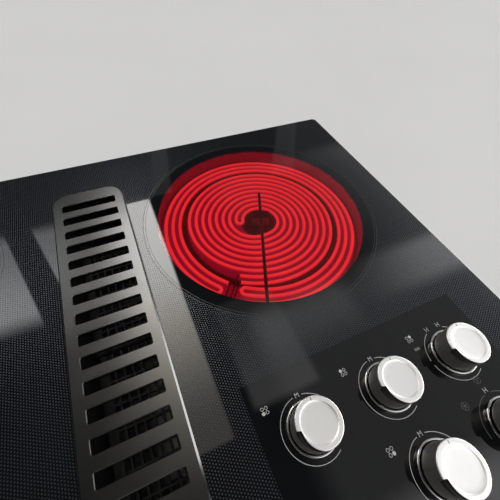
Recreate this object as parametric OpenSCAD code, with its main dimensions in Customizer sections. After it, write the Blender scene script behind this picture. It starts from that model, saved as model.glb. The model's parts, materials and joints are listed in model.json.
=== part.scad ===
// Electric downdraft cooktop: a drop-in glass hob with four radiant heaters, five knobs and a
// centre vent whose blower draws air down through a grille and a grease filter.
// Millimetres. X runs left to right, Y from front to back, Z up. The origin lies on the counter's
// top face, at the middle of the glass and of the vent.

/* [Glass top] */
// Width of the glass, left to right
glass_w = 780; // [770:1:800]
// Depth of the glass, front to back
glass_d = 544; // [538:1:560]
// Thickness of the glass
glass_t = 4; // [3.5:0.1:6]
// Radius of the glass corners in plan
glass_corner_r = 7; // [4:0.5:12]
// Thickness of the foam seal under the edge of the glass
seal_t = 1.5; // [1:0.1:3]
// Width of the foam seal
seal_w = 8; // [5:0.5:9]
// Distance from the edge of the glass to the outer edge of the seal
seal_inset = 1.5; // [1:0.1:2]
// Lap of the glass over the edge of the counter cut-out
rim_lap = 11; // [11:0.5:13]

/* [Burner box] */
// Gap from the cut-out to the wall of the burner box
box_clear = 13; // [12:0.5:14]
// Depth of the burner box below the glass
box_depth = 78; // [72:1:95]
// Thickness of the sheet steel
sheet_t = 1; // [0.8:0.1:1.5]
// Width of the flanges folded out of the sheet steel
flange_w = 8; // [5:0.5:9]
// Width of a heater rail
rail_w = 16; // [10:1:24]

/* [Right rear heater] */
// Inner radius of the large heater's insulation ring
right_r = 132; // [128:0.5:134]
// Gap from the throat's flange to the pan of the large heater
right_vent_gap = 11.4; // [6:0.1:18]
// Gap from the back wall of the burner box to the pan of the large heater
right_wall_gap = 10; // [4:0.5:16]
// Distance from the ring to the outermost winding lane
outer_lane_gap = 7.8; // [6.5:0.1:9]
// Distance from the last lane of the outer winding to the first lane of the inner winding
winding_gap = 11.2; // [10.5:0.1:12.5]
// Direction of the lead terminals, in degrees from the right
lead_angle = 231; // [230:1:232]
// Direction of the limiter's head, in degrees from the right
limiter_angle = 248; // [247:1:251]

/* [Left heaters] */
// Gap from the left wall of the burner box to the pans of the left heaters
left_side_gap = 59; // [40:1:70]
// Gap from the front or back wall of the burner box to the pan of the left heater next to it
left_wall_gap = 18; // [10:0.5:22]
// Gap between the bridge heater's pan and the pan of a left heater
bridge_gap = 2; // [1:0.5:6]
// Gap from a left heater's ring to its first winding lane
left_lane_gap = 8; // [7:0.5:10]
// Length of the heated field of the bridge heater
bridge_l = 170; // [150:1:180]
// Depth of the heated field of the bridge heater
bridge_d = 38; // [37:0.5:40]

/* [Heater build] */
// Distance from one winding lane to the next
lane_pitch = 8.9; // [8.5:0.05:9]
// Radius of the wound heating strand
strand_r = 2.4; // [1.8:0.1:2.6]
// Distance from the underside of the glass to the middle of the strand
strand_drop = 15.4; // [14:0.1:18]
// Thickness of the insulation ring's wall
ring_t = 10; // [8:0.5:11]
// Thickness of the insulation under the strand
base_t = 12; // [8:0.5:16]
// Radius of the limiter's rod
rod_r = 2; // [1.5:0.1:2.2]
// Distance from the underside of the glass to the middle of the rod
rod_drop = 6; // [5.5:0.1:6.5]
// Reach of the rod past the middle of the large heater
rod_reach = 44; // [35:1:60]
// Radial depth of a limiter head
head_l = 20; // [14:1:24]
// Width of a limiter head
head_w = 26; // [20:1:28]
// Width of the large heater's terminal block
terminal_w = 34; // [30:1:36]
// Radius of a lead wire
lead_r = 0.8; // [0.5:0.1:1]

/* [Vent grille] */
// Width of the grille
grille_w = 84.2; // [82:0.1:88]
// Length of the grille, front to back
grille_l = 414; // [410:1:424]
// Thickness of the grille plate
grille_t = 4; // [3:0.1:6]
// Radius of the grille's corners in plan
grille_corner_r = 20; // [12:1:24]
// Number of slots in the grille
slot_count = 17; // [13:2:17]
// Distance from one slot to the next
slot_pitch = 22.5; // [18:0.5:22.5]
// Width of a slot
slot_w = 11; // [8:0.5:13]
// Length of a slot, left to right
slot_l = 62.4; // [54:0.1:64]
// Thickness of the rubber pads under the grille
pad_t = 1.5; // [1:0.1:2.5]
// Lap of the grille over the glass
vent_lap = 7; // [6:0.5:8]

/* [Filter] */
// Depth of the filter's seat below the glass
filter_drop = 62; // [45:1:70]
// Thickness of the filter
filter_t = 9; // [6:0.5:14]
// Gap round the filter as it lifts out through the glass
filter_gap = 2; // [1.5:0.1:3]
// Number of mesh gaps across the filter
mesh_across = 6; // [4:1:8]
// Number of mesh gaps along the filter
mesh_along = 32; // [20:1:34]
// Height of the filter's lifting handle
handle_h = 18; // [12:1:24]

/* [Air path] */
// Depth of the throat below the glass
throat_l = 110; // [100:1:130]
// Length over which the plenum sleeves the throat
sleeve_l = 15; // [14:1:30]
// Width of the folded lip that closes the plenum's mouth onto the throat
plenum_lip = 2.1; // [1.6:0.1:6]
// Depth of the plenum's bottom below the counter
plenum_drop = 352; // [350:1:380]
// Depth at which the plenum starts to narrow
plenum_bend = 200; // [180:1:220]
// Half length of the plenum's floor
plenum_floor = 106; // [100:1:140]
// Radius of the round duct collar
collar_r = 62; // [60:0.5:64]
// Length of the round duct collar
collar_l = 42; // [30:1:60]

/* [Blower] */
// Depth of the blower's axis below the counter
blower_drop = 235; // [233:1:237]
// Radius of the blower wheel
wheel_r = 75; // [68:0.5:77]
// Length of the blower wheel
wheel_l = 92; // [70:1:100]
// Number of blower blades
blade_count = 30; // [20:1:36]
// Radius of the blower inlet
inlet_r = 58; // [50:0.5:60]
// Width of the scroll between its side plates
scroll_w = 126; // [124:1:134]
// Scroll radius at the tongue
scroll_r0 = 84; // [83:0.5:86]
// Scroll radius at the outlet
scroll_r1 = 140; // [138:0.5:142]
// Radius of the motor
motor_r = 45; // [35:0.5:52]
// Length of the motor
motor_l = 60; // [45:1:90]
// Radius of the motor shaft
axle_r = 4; // [3:0.1:5]
// Gap between the scroll and the motor, filled by rubber mounts
motor_gap = 10; // [6:0.5:16]

/* [Knobs] */
// Centre of the first knob, to the right of the vent
knob_x0 = 132.6; // [128:0.1:136]
// Distance from one knob to the next
knob_step = 80; // [76:0.5:82]
// Distance from the front edge of the glass to the front row of knobs
knob_edge = 59; // [56:0.5:64]
// Distance between the rows of knobs
knob_row_step = 67; // [62:0.5:72]
// Radius of a knob
knob_r = 19; // [17:0.1:19.2]
// Height of the top of a knob above the glass
knob_h = 26; // [24:0.5:30]
// Travel of a knob when it is pushed in
push_travel = 3; // [2:0.1:3.5]
// Radius of the trim ring round a knob
trim_r = 21.6; // [21.4:0.1:24]
// Height of the trim ring
trim_h = 3; // [2:0.1:4]
// Radius of the finger scoop in the front of a knob
scoop_r = 6; // [4:0.5:7]
// Half of the angle that the finger scoop spans
scoop_half = 40; // [30:1:60]
// Radius of a knob shaft
shaft_r = 3; // [2.5:0.05:3.2]

/* [Controls] */
// Depth of the switch bracket below the glass
bracket_drop = 9.5; // [8:0.1:14]
// Width of a switch body
switch_w = 38; // [30:1:44]
// Depth of a switch body, front to back
switch_d = 34; // [28:1:40]
// Height of a switch body
switch_h = 28; // [22:1:36]
// Radius of the threaded bushing of a switch
bushing_r = 4.7; // [4.5:0.1:5]
// Width of the bracket beyond the outer knobs
bracket_margin = 30; // [24:1:34]

/* [Supply box] */
// Distance from the right wall of the burner box to the supply box
supply_side = 31; // [20:1:60]
// Distance from the back wall of the burner box to the supply box
supply_back = 43; // [20:1:70]
// Width of the supply box
supply_w = 90; // [80:1:120]
// Depth of the supply box, front to back
supply_d = 70; // [60:1:90]
// Height of the supply box
supply_h = 46; // [40:1:60]
// Radius of the conduit hole
conduit_r = 11.1; // [10:0.1:14]

/* [Hold-downs] */
// Distance of a hold-down from the middle, front to back
hold_y = 170; // [120:1:200]
// Width of a hold-down bracket
hold_w = 30; // [20:1:40]
// Reach of a hold-down bracket under the counter
hold_reach = 24; // [22:0.5:24]
// Depth of the hold-down's foot below the counter
hold_drop = 62; // [56:1:66]
// Thickness of the counter that the clamp screws press on
counter_t = 38; // [30:1:40]
// Radius of a clamp screw
clamp_r = 2.5; // [2:0.1:3]

/* [Hidden] */
$fn = 64;
touch_gap = 0.3;      // between pieces that move past each other
run_gap = 0.05;       // radial clearance of a shaft in its bore
seat_gap = 0.1;       // between soft or wound pieces and what they lie on
strand_sides = 6;
loop_rings = 24;
bend_rings = 4;
strand_end = 5;       // straight end of a winding
lead_stub = 2.2;      // straight start of a lead wire, up to its weld
weld_r = lead_r + 0.6;
swap_from = 142;      // where the inner lanes start to step inwards
swap_len = 141;       // how far round they take to do it
screw_r = 2;
screw_head_r = 3.6;
screw_head_h = 2.2;

z_glass = seal_t;
z_top = z_glass + glass_t;
z_floor = z_glass - box_depth + sheet_t;
z_strand = z_glass - strand_drop;
z_base = z_strand - strand_r - seat_gap;
z_pan = z_base - base_t - sheet_t;
z_rod = z_glass - rod_drop;
cutout_w = glass_w - 2 * rim_lap;
cutout_d = glass_d - 2 * rim_lap;
box_w = cutout_w - 2 * box_clear;
box_d = cutout_d - 2 * box_clear;
rail_h = z_pan - z_floor;
head_h = 19;
head_top = z_rod + 5;
terminal_h = 14;
terminal_l = 12;
slot_half = 14.5;     // half width of the lead slot in a ring
lead_slot_h = 2 * strand_r + 1.2;
pan_rim_gap = 1;      // from a pan's rim up to the glass
support_l = 13;       // block that carries the large heater's rod at its middle
support_w = 22;
support_cover = 1.2;

// The bridge heater is a trough between the two round heaters on the left.
bridge_ring = ring_t / 2;
bridge_pan_l = bridge_l + 2 * bridge_ring + 2 * sheet_t;
bridge_pan_d = bridge_d + 2 * bridge_ring + 2 * sheet_t;
bridge_head_x = -bridge_pan_l / 2;

// The left heaters fill the depth between the bridge heater and the walls.
left_out = box_d / 2 - sheet_t - left_wall_gap;
left_in = bridge_pan_d / 2 + bridge_gap;
left_pan_r = (left_out - left_in) / 2;
left_r = left_pan_r - ring_t - sheet_t;
left_x = box_w / 2 - sheet_t - left_side_gap - left_pan_r;
left_y = (left_out + left_in) / 2;

open_w = grille_w - 2 * vent_lap;
open_l = grille_l - 2 * vent_lap;
open_corner_r = grille_corner_r - vent_lap;
throat_in_w = open_w + 3;
throat_in_l = open_l + 3;
throat_w = throat_in_w + 2 * sheet_t;
throat_d = throat_in_l + 2 * sheet_t;
throat_end = z_glass - throat_l;
right_pan_r = right_r + ring_t + sheet_t;
right_x = throat_w / 2 + flange_w + right_vent_gap + right_pan_r;
right_y = box_d / 2 - sheet_t - right_wall_gap - right_pan_r;
outer_lane_r = right_r - outer_lane_gap;
inner_lane_r = outer_lane_r - 2 * lane_pitch - winding_gap;
z_grille = z_top + touch_gap + pad_t;
filter_w = open_w - 2 * filter_gap;
filter_l = open_l - 2 * filter_gap;
ledge_w = (throat_in_w - filter_w) / 2 + 4;
z_ledge = z_glass - filter_drop;
z_filter = z_ledge + touch_gap;
mesh_t = filter_t - 3;
mesh_rim = 6;
mesh_w = filter_w - 2 * mesh_rim;
mesh_l = filter_l - 2 * mesh_rim;
wire_r = 1.6;
handle_w = 40;

sleeve_w = throat_w + 2 * touch_gap;
sleeve_d = throat_d + 2 * touch_gap;
plenum_w = sleeve_w + 2 * plenum_lip;
plenum_half = sleeve_d / 2 + sheet_t;
plenum_top = throat_end + sleeve_l;
plenum_bottom = -plenum_drop;
z_blower = -blower_drop;
blower_x = plenum_w / 2;
scroll_x = blower_x + sheet_t;
scroll_sweep = 310;
scroll_start = -50;
scroll_flange = 14;
tongue_turn = 5;
outlet_in = scroll_r1 - scroll_w - 2 * sheet_t;
inlet_gap = 2;
inlet_lip = 4;
wheel_ring = 4;
wheel_plate = 2;
hub_r = 14;
hub_l = 24;
blade_turn = 30;
bell_h = 6;
mount_r = 7;
mount_inset = 10;
axle_hole_r = axle_r + 2;
collar_lap = 6;       // reach of the collar's plate past the scroll
z_outlet = z_blower - scroll_r1;
wheel_x = scroll_x + (scroll_w - wheel_l) / 2;
motor_x = scroll_x + scroll_w + sheet_t + motor_gap;
collar_x = scroll_x + scroll_w / 2;
collar_y = (scroll_r1 + outlet_in) / 2;
collar_plate = scroll_w + 2 * sheet_t + 2 * collar_lap;
flange_turns = [60, 140, 190, 270];   // places of the flange screws round the scroll

knob_cols = [0, 1, 2, 1, 2];
knob_rows = [0, 0, 0, 1, 1];
knob_foot = trim_h + push_travel - 1.7;
knob_skin = 2.4;
knob_edge_r = 0.8;       // bevel round the top of a knob
knob_wall = 2;
boss_wall = 2.5;
dish_r = 14.8;
dish_t = 0.4;
scoop_z = knob_h - 0.2;
scoop_x = knob_r + 4.4;
scoop_slide = 3;         // the scoop's own axis lies aside, so it is deep at one end and fades at the other
scoop_turn = 218;        // the scoop is at the front left, and the pointer at the back
shaft_top = knob_h - push_travel - knob_skin - touch_gap;
flat_x = shaft_r * 0.7;
glass_hole_r = bushing_r + 1;
z_bracket = z_glass - bracket_drop;
z_switch = z_bracket - sheet_t;
bushing_l = bracket_drop - 1;
nut_h = 3;
nut_r = bushing_r + 3;
shaft_depth = switch_h - 8;
knob_front = glass_d / 2 - knob_edge;
bracket_lap = 8;         // reach of the bracket past a switch
bracket_front = knob_front + switch_d / 2 + bracket_lap;
bracket_back = knob_front - knob_row_step - switch_d / 2 - bracket_lap;

supply_top = z_floor - sheet_t;
supply_x = box_w / 2 - supply_side - supply_w / 2;
supply_y = box_d / 2 - supply_back - supply_d / 2;
hold_h = 34;
hold_screw_z = 22 - hold_drop;
hold_t = 2 * sheet_t;
clamp_x = hold_reach - clamp_r - 1.2;
clamp_tail = 8;       // length of a clamp screw below its bracket
clamp_head_h = 3;
screw_clear = 0.15;

// A rectangle with round corners, centred, made of straight sides and true arcs.
module round_rect(w, d, r) {
    square([w - 2 * r, d], center = true);
    square([w, d - 2 * r], center = true);
    for (sx = [-1, 1]) {
        for (sy = [-1, 1]) {
            translate([sx * (w / 2 - r), sy * (d / 2 - r)]) circle(r);
        }
    }
}

// A block given by its lowest and highest corner.
module block(low, high) {
    translate(low) cube(high - low);
}

// A pan-head screw whose head rests on z = 0 and whose shank points down.
module screw(shank) {
    cylinder(r = screw_head_r, h = screw_head_h);
    translate([0, 0, -shank]) cylinder(r = screw_r, h = shank + screw_head_h / 2);
}

// Winding lanes: an even number of lanes lies one pitch apart, and the lane pair steps inwards by
// two pitches on each turn, within one stretch of the circle.
function smooth(u) = u * u * (3 - 2 * u);
function lane_r(first, phi) =
    let (x = (phi - swap_from) / 360, m = floor(x), u = min(1, (x - m) * 360 / swap_len))
    first - 2 * lane_pitch * (m + smooth(u));
function polar(r, phi) = [r * cos(phi), r * sin(phi)];
function along(phi) = [-sin(phi), cos(phi)];

// A half circle that joins two neighbouring lanes at angle phi, bulging forwards (way = 1) or
// backwards (way = -1) along the lanes, from the outer lane inwards or the other way round.
function hairpin(outer, phi, way, inwards) =
    [for (k = [1 : bend_rings])
        let (t = 180 * k / (bend_rings + 1) - 90, s = inwards ? -t : t)
        polar(outer - lane_pitch / 2 + sin(s) * lane_pitch / 2, phi)
            + way * cos(s) * lane_pitch / 2 * along(phi)];

function arc_lane(r, from, to) =
    let (n = ceil(abs(to - from) * loop_rings / 360))
    [for (k = [0 : n]) polar(r, from + (to - from) * k / n)];
function swap_lane(first, from, to) =
    let (n = ceil(abs(to - from) * loop_rings / 360))
    [for (k = [0 : n]) let (phi = from + (to - from) * k / n) polar(lane_r(first, phi), phi)];
function unit(v) = v / norm(v);
function with_ends(p) =
    concat([p[0] + strand_end * unit(p[0] - p[1])], p,
           [p[len(p) - 1] + strand_end * unit(p[len(p) - 1] - p[len(p) - 2])]);

// The outer winding of the large heater: three lanes in one strand, with two hairpins.
outer_from = -121;
outer_back = -124;
outer_to = 221;
outer_path = with_ends(concat(
    arc_lane(outer_lane_r, outer_from, outer_to),
    hairpin(outer_lane_r, outer_to, 1, true),
    arc_lane(outer_lane_r - lane_pitch, outer_to, outer_back),
    hairpin(outer_lane_r - lane_pitch, outer_back, -1, true),
    arc_lane(outer_lane_r - 2 * lane_pitch, outer_back, outer_to + 1)));

// An inner winding: a strand that spirals in, turns round in a hairpin and spirals out again.
inner_from = -125;
inner_back = -127;
turn_angle = 160;
function inner_path(first, turns) =
    let (last = turn_angle + 360 * turns)
    with_ends(concat(
        swap_lane(first, inner_from, last),
        hairpin(lane_r(first, last - 360) - lane_pitch, turn_angle, 1, false),
        swap_lane(first - lane_pitch, last - 360, inner_back)));

// The bridge winding: straight lanes with hairpins between them.
bridge_lanes = 4;
bridge_end = 20;      // from the end of the trough to the middle of a hairpin
bridge_run = bridge_l - 2 * bridge_end;
function bridge_y(k) = (k - (bridge_lanes - 1) / 2) * lane_pitch;
function bridge_path() =
    with_ends([for (k = [0 : bridge_lanes - 1]) let (way = k % 2 == 0 ? 1 : -1)
        for (q = [0 : 3 + bend_rings])
            let (t = 180 * (q - 3) / (bend_rings + 1) - 90)
            if (q < 4) [way * bridge_run * (q / 3 - 0.5), bridge_y(k)]
            else if (k < bridge_lanes - 1)
                [way * (bridge_run / 2 + cos(t) * lane_pitch / 2),
                 bridge_y(k + 0.5) + sin(t) * lane_pitch / 2]]);

// Points and faces of one unbroken tube along a flat path.
function tube_points(p) =
    [for (i = [0 : len(p) - 1])
        let (t = unit(p[min(i + 1, len(p) - 1)] - p[max(i - 1, 0)]))
        for (k = [0 : strand_sides - 1])
            let (a = 360 * k / strand_sides, s = strand_r * cos(a))
            [p[i][0] - s * t[1], p[i][1] + s * t[0], strand_r * sin(a)]];
function tube_faces(n) =
    let (m = strand_sides)
    concat([for (k = [1 : m - 2]) [0, k, k + 1]],
           [for (k = [1 : m - 2]) [(n - 1) * m, (n - 1) * m + k + 1, (n - 1) * m + k]],
           [for (i = [0 : n - 2]) for (k = [0 : m - 1])
               let (a = i * m + k, b = i * m + (k + 1) % m)
               each [[a, a + m, b], [b, a + m, b + m]]]);
module strand(p) {
    polyhedron(tube_points(p), tube_faces(len(p)), convexity = 12);
}
function least_gap(p) =
    min([for (i = [0 : len(p) - 9]) for (j = [i + 8 : len(p) - 1]) norm(p[i] - p[j])])
    - 2 * strand_r;

least_lane_r = 22;
function turns_in(first) = floor((first - least_lane_r) / (2 * lane_pitch));
left_first = left_r - left_lane_gap;
right_inner_path = inner_path(inner_lane_r, turns_in(inner_lane_r));
left_path = inner_path(left_first, turns_in(left_first));
echo("least gap of the outer winding", least_gap(outer_path));
echo("least gap of the inner winding", least_gap(right_inner_path));
echo("least gap of a left winding", least_gap(left_path));
echo("least gap of the bridge winding", least_gap(bridge_path()));

// The foot of a limiter head or terminal block: a tab folded out of the heater pan.
module pan_tab(pan_r, angle, reach, width, z) {
    rotate(angle) block([pan_r - sheet_t, -width / 2, z - sheet_t], [pan_r + reach, width / 2, z]);
}

// The opening for the rod and the one for the leads, cut through a ring and its pan.
module rod_hole(angle, reach) {
    translate([0, 0, z_rod]) rotate([0, 90, angle]) cylinder(r = rod_r + touch_gap, h = reach);
}
module lead_slot(angle, reach) {
    rotate(angle) block([reach - 2 * ring_t, -slot_half, z_strand - lead_slot_h / 2],
                        [reach + 1, slot_half, z_strand + lead_slot_h / 2]);
}

// A round steel pan, with the tabs and openings for its limiter and its leads.
module round_pan(pan_r, head_angle, leads_angle, two_tabs) {
    difference() {
        union() {
            translate([0, 0, z_pan]) cylinder(r = pan_r, h = z_glass - pan_rim_gap - z_pan, $fn = 128);
            pan_tab(pan_r, head_angle, head_l, head_w, head_top - head_h);
            if (two_tabs) {
                pan_tab(pan_r, leads_angle, terminal_l, terminal_w, z_strand - terminal_h / 2);
            }
        }
        translate([0, 0, z_pan + sheet_t])
            cylinder(r = pan_r - sheet_t, h = z_glass - z_pan, $fn = 128);
        rod_hole(head_angle, pan_r + 1);
        lead_slot(leads_angle, pan_r);
    }
}

// A cup of pressed fibre: a flat base and a ring that reaches the glass.
module round_cup(ring_in, head_angle, leads_angle) {
    cup_r = ring_in + ring_t;
    difference() {
        translate([0, 0, z_pan + sheet_t])
            cylinder(r = cup_r, h = z_glass - z_pan - sheet_t, $fn = 128);
        translate([0, 0, z_base]) cylinder(r = ring_in, h = z_glass - z_base + 1, $fn = 128);
        rod_hole(head_angle, cup_r + 1);
        lead_slot(leads_angle, cup_r);
    }
}

// A limiter: a ceramic head on the pan's tab and a rod that crosses the heater.
module limiter(pan_r, angle, reach) {
    color("#d8cfc0") rotate(angle)
        block([pan_r + touch_gap, -head_w / 2, head_top - head_h],
              [pan_r + head_l, head_w / 2, head_top]);
    color("#8d8f91") rotate(angle) translate([-reach, 0, z_rod]) rotate([0, 90, 0])
        cylinder(r = rod_r, h = reach + pan_r + touch_gap, $fn = 32);
}

// A lead wire from the end of a strand out into a block whose face is at distance reach along
// the lead angle.
module lead(end, away, angle, reach) {
    elbow = end + lead_stub * away;
    out = [cos(angle), sin(angle)];
    run = reach + 1 - elbow * out;
    translate([end[0], end[1], z_strand]) rotate([0, 90, atan2(away[1], away[0])])
        cylinder(r = lead_r, h = lead_stub - lead_r - 0.2, $fn = 24);
    translate([elbow[0], elbow[1], z_strand]) sphere(r = weld_r, $fn = 24);
    translate([elbow[0], elbow[1], z_strand]) rotate([0, 90, angle])
        cylinder(r = lead_r, h = run, $fn = 24);
}
module leads_of(p, angle, reach) {
    n = len(p);
    lead(p[0], unit(p[0] - p[1]), angle, reach);
    lead(p[n - 1], unit(p[n - 1] - p[n - 2]), angle, reach);
}

module at_right() { translate([right_x, right_y, 0]) children(); }
module at_left(side) { translate([-left_x, side * left_y, 0]) children(); }
module at_bridge() { translate([-left_x, 0, 0]) children(); }

module glass_top() {
    color("#0b0c0e") translate([0, 0, z_glass]) linear_extrude(glass_t) difference() {
        round_rect(glass_w, glass_d, glass_corner_r);
        round_rect(open_w, open_l, open_corner_r);
        for (i = [0 : 4]) translate([knob_x(i), knob_y(i)]) circle(glass_hole_r);
    }
}

module counter_seal() {
    color("#2b2b2d") linear_extrude(seal_t) difference() {
        round_rect(glass_w - 2 * seal_inset, glass_d - 2 * seal_inset, glass_corner_r - seal_inset);
        square([glass_w - 2 * seal_inset - 2 * seal_w, glass_d - 2 * seal_inset - 2 * seal_w],
               center = true);
    }
}

module burner_box() {
    hole_w = throat_w + 2 * touch_gap;
    hole_d = throat_d + 2 * touch_gap;
    low = z_glass - box_depth;
    color("#a9acae") difference() {
        union() {
            translate([0, 0, low + box_depth / 2]) cube([box_w, box_d, box_depth], center = true);
            translate([0, 0, z_glass - sheet_t / 2])
                cube([box_w + 2 * flange_w, box_d + 2 * flange_w, sheet_t], center = true);
        }
        translate([0, 0, low + sheet_t + box_depth / 2])
            cube([box_w - 2 * sheet_t, box_d - 2 * sheet_t, box_depth], center = true);
        translate([0, 0, low]) cube([hole_w, hole_d, 4 * sheet_t], center = true);
        for (sx = [-1, 1]) {
            for (sy = [-1, 1]) {
                translate([sx * box_w / 2, sy * hold_y, hold_screw_z]) rotate([0, 90, 0])
                    cylinder(r = screw_r + screw_clear, h = 6 * sheet_t, center = true);
            }
        }
        translate([supply_x, supply_y, low]) cylinder(r = conduit_r, h = 4 * sheet_t, center = true);
    }
}

// An inverted steel channel along Y.
module rail(length) {
    difference() {
        translate([0, 0, z_floor + rail_h / 2]) cube([rail_w, length, rail_h], center = true);
        translate([0, 0, z_floor + rail_h / 2 - sheet_t])
            cube([rail_w - 2 * sheet_t, length + 2, rail_h], center = true);
    }
}

module heater_rails() {
    color("#9fa2a4") {
        for (s = [-1, 1]) {
            translate([right_x + s * right_r / 2, right_y, 0]) rail(2 * right_r);
            translate([-left_x + s * left_r / 2, 0, 0]) rail(2 * (left_y + left_r / 2));
        }
    }
}

module right_rear_pan() {
    color("#b4b6b8") at_right() round_pan(right_pan_r, limiter_angle, lead_angle, true);
}
module right_rear_insulation() {
    color("#e6dfd2") at_right() round_cup(right_r, limiter_angle, lead_angle);
}
module right_rear_outer_winding() {
    color("#e2202c") at_right() translate([0, 0, z_strand]) strand(outer_path);
}
module right_rear_inner_winding() {
    color("#e2202c") at_right() translate([0, 0, z_strand]) strand(right_inner_path);
}
module right_rear_limiter() {
    at_right() limiter(right_pan_r, limiter_angle, rod_reach);
    color("#4a4744") at_right() rotate(limiter_angle) difference() {
        block([-support_l / 2, -support_w / 2, z_base],
              [support_l / 2, support_w / 2, z_rod + rod_r + support_cover]);
        translate([0, 0, z_rod]) rotate([0, 90, 0])
            cylinder(r = rod_r + run_gap, h = 2 * support_l, center = true, $fn = 32);
    }
}
module right_rear_terminals() {
    face = right_pan_r + touch_gap;
    at_right() {
        color("#d8cfc0") rotate(lead_angle)
            block([face, -terminal_w / 2, z_strand - terminal_h / 2],
                  [right_pan_r + terminal_l, terminal_w / 2, z_strand + terminal_h / 2]);
        color("#9a9c9e") {
            leads_of(outer_path, lead_angle, face);
            leads_of(right_inner_path, lead_angle, face);
        }
    }
}

module left_pan(side) {
    color("#b4b6b8") at_left(side) round_pan(left_pan_r, lead_angle, lead_angle, false);
}
module left_insulation(side) {
    color("#e6dfd2") at_left(side) round_cup(left_r, lead_angle, lead_angle);
}
module left_winding(side) {
    color("#5a4a44") at_left(side) translate([0, 0, z_strand]) strand(left_path);
}
module left_limiter(side) {
    at_left(side) {
        limiter(left_pan_r, lead_angle, left_r / 2);
        color("#9a9c9e") leads_of(left_path, lead_angle, left_pan_r + touch_gap);
    }
}

module bridge_holes() {
    translate([-bridge_l / 2, 0, z_rod]) rotate([0, -90, 0])
        cylinder(r = rod_r + touch_gap, h = bridge_ring + 2 * sheet_t);
    block([bridge_head_x - 1, -slot_half, z_strand - lead_slot_h / 2],
          [-bridge_l / 2 + 1, slot_half, z_strand + lead_slot_h / 2]);
}
module bridge_pan() {
    color("#b4b6b8") at_bridge() {
        difference() {
            block([-bridge_pan_l / 2, -bridge_pan_d / 2, z_pan],
                  [bridge_pan_l / 2, bridge_pan_d / 2, z_glass - pan_rim_gap]);
            block([-bridge_pan_l / 2 + sheet_t, -bridge_pan_d / 2 + sheet_t, z_pan + sheet_t],
                  [bridge_pan_l / 2 - sheet_t, bridge_pan_d / 2 - sheet_t, z_glass + 1]);
            bridge_holes();
        }
        block([bridge_head_x - head_l, -head_w / 2, head_top - head_h - sheet_t],
              [bridge_head_x, head_w / 2, head_top - head_h]);
    }
}
module bridge_insulation() {
    color("#e6dfd2") at_bridge() difference() {
        block([-bridge_l / 2 - bridge_ring, -bridge_d / 2 - bridge_ring, z_pan + sheet_t],
              [bridge_l / 2 + bridge_ring, bridge_d / 2 + bridge_ring, z_glass]);
        block([-bridge_l / 2, -bridge_d / 2, z_base], [bridge_l / 2, bridge_d / 2, z_glass + 1]);
        bridge_holes();
    }
}
module bridge_winding() {
    color("#5a4a44") at_bridge() translate([0, 0, z_strand]) strand(bridge_path());
}
module bridge_limiter() {
    path = bridge_path();
    at_bridge() {
        color("#d8cfc0") block([bridge_head_x - head_l, -head_w / 2, head_top - head_h],
                               [bridge_head_x - touch_gap, head_w / 2, head_top]);
        color("#8d8f91") translate([bridge_head_x - touch_gap, 0, z_rod]) rotate([0, 90, 0])
            cylinder(r = rod_r, h = bridge_l, $fn = 32);
        color("#9a9c9e") for (end = [path[0], path[len(path) - 1]]) {
            translate([bridge_head_x - touch_gap, end[1], z_strand]) rotate([0, 90, 0])
                cylinder(r = lead_r, h = end[0] - bridge_head_x + touch_gap, $fn = 24);
        }
    }
}

module vent_grille() {
    color("#85878b") translate([0, 0, z_grille]) difference() {
        linear_extrude(grille_t) round_rect(grille_w, grille_l, grille_corner_r);
        for (k = [0 : slot_count - 1]) {
            translate([0, (k - (slot_count - 1) / 2) * slot_pitch, -1])
                linear_extrude(grille_t + 2) round_rect(slot_l, slot_w, 1.2);
        }
    }
}

pad_r = vent_lap / 2 - 0.2;
module pad_places() {
    for (sx = [-1, 1]) {
        for (k = [-1, 0, 1]) {
            translate([sx * (grille_w / 2 - vent_lap / 2), k * (grille_l / 2 - grille_corner_r), 0])
                children();
        }
    }
}
module grille_pads() {
    color("#1d1d1f") translate([0, 0, z_top + touch_gap]) pad_places()
        cylinder(r = pad_r, h = pad_t);
}

module filter_frame() {
    color("#b9bbbd") translate([0, 0, z_filter]) difference() {
        linear_extrude(filter_t) round_rect(filter_w, filter_l, open_corner_r - filter_gap);
        translate([0, 0, -1]) linear_extrude(filter_t + 2)
            square([mesh_w - 6, mesh_l - 6], center = true);
        translate([0, 0, (filter_t - mesh_t) / 2]) linear_extrude(mesh_t)
            square([mesh_w, mesh_l], center = true);
    }
}

module filter_mesh() {
    cell_w = mesh_w / mesh_across;
    cell_l = mesh_l / mesh_along;
    color("#8f9193") translate([0, 0, z_filter + (filter_t - mesh_t) / 2])
        linear_extrude(mesh_t) difference() {
            square([mesh_w, mesh_l], center = true);
            for (i = [0 : mesh_across - 1]) {
                for (k = [0 : mesh_along - 1]) {
                    translate([(i - (mesh_across - 1) / 2) * cell_w,
                               (k - (mesh_along - 1) / 2) * cell_l])
                        square([cell_w - 2, cell_l - 2], center = true);
                }
            }
        }
}

// A wire loop that stands on the two long sides of the filter's frame.
module filter_handle() {
    span = filter_w - mesh_rim;
    color("#b9bbbd") translate([0, 0, z_filter + filter_t]) {
        for (s = [-1, 1]) {
            translate([s * span / 2, 0, 0]) cylinder(r = wire_r, h = handle_h - wire_r, $fn = 32);
            translate([s * span / 2, 0, handle_h - wire_r]) sphere(r = wire_r, $fn = 32);
        }
        translate([-span / 2, 0, handle_h - wire_r]) rotate([0, 90, 0])
            cylinder(r = wire_r, h = span, $fn = 32);
    }
}

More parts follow.
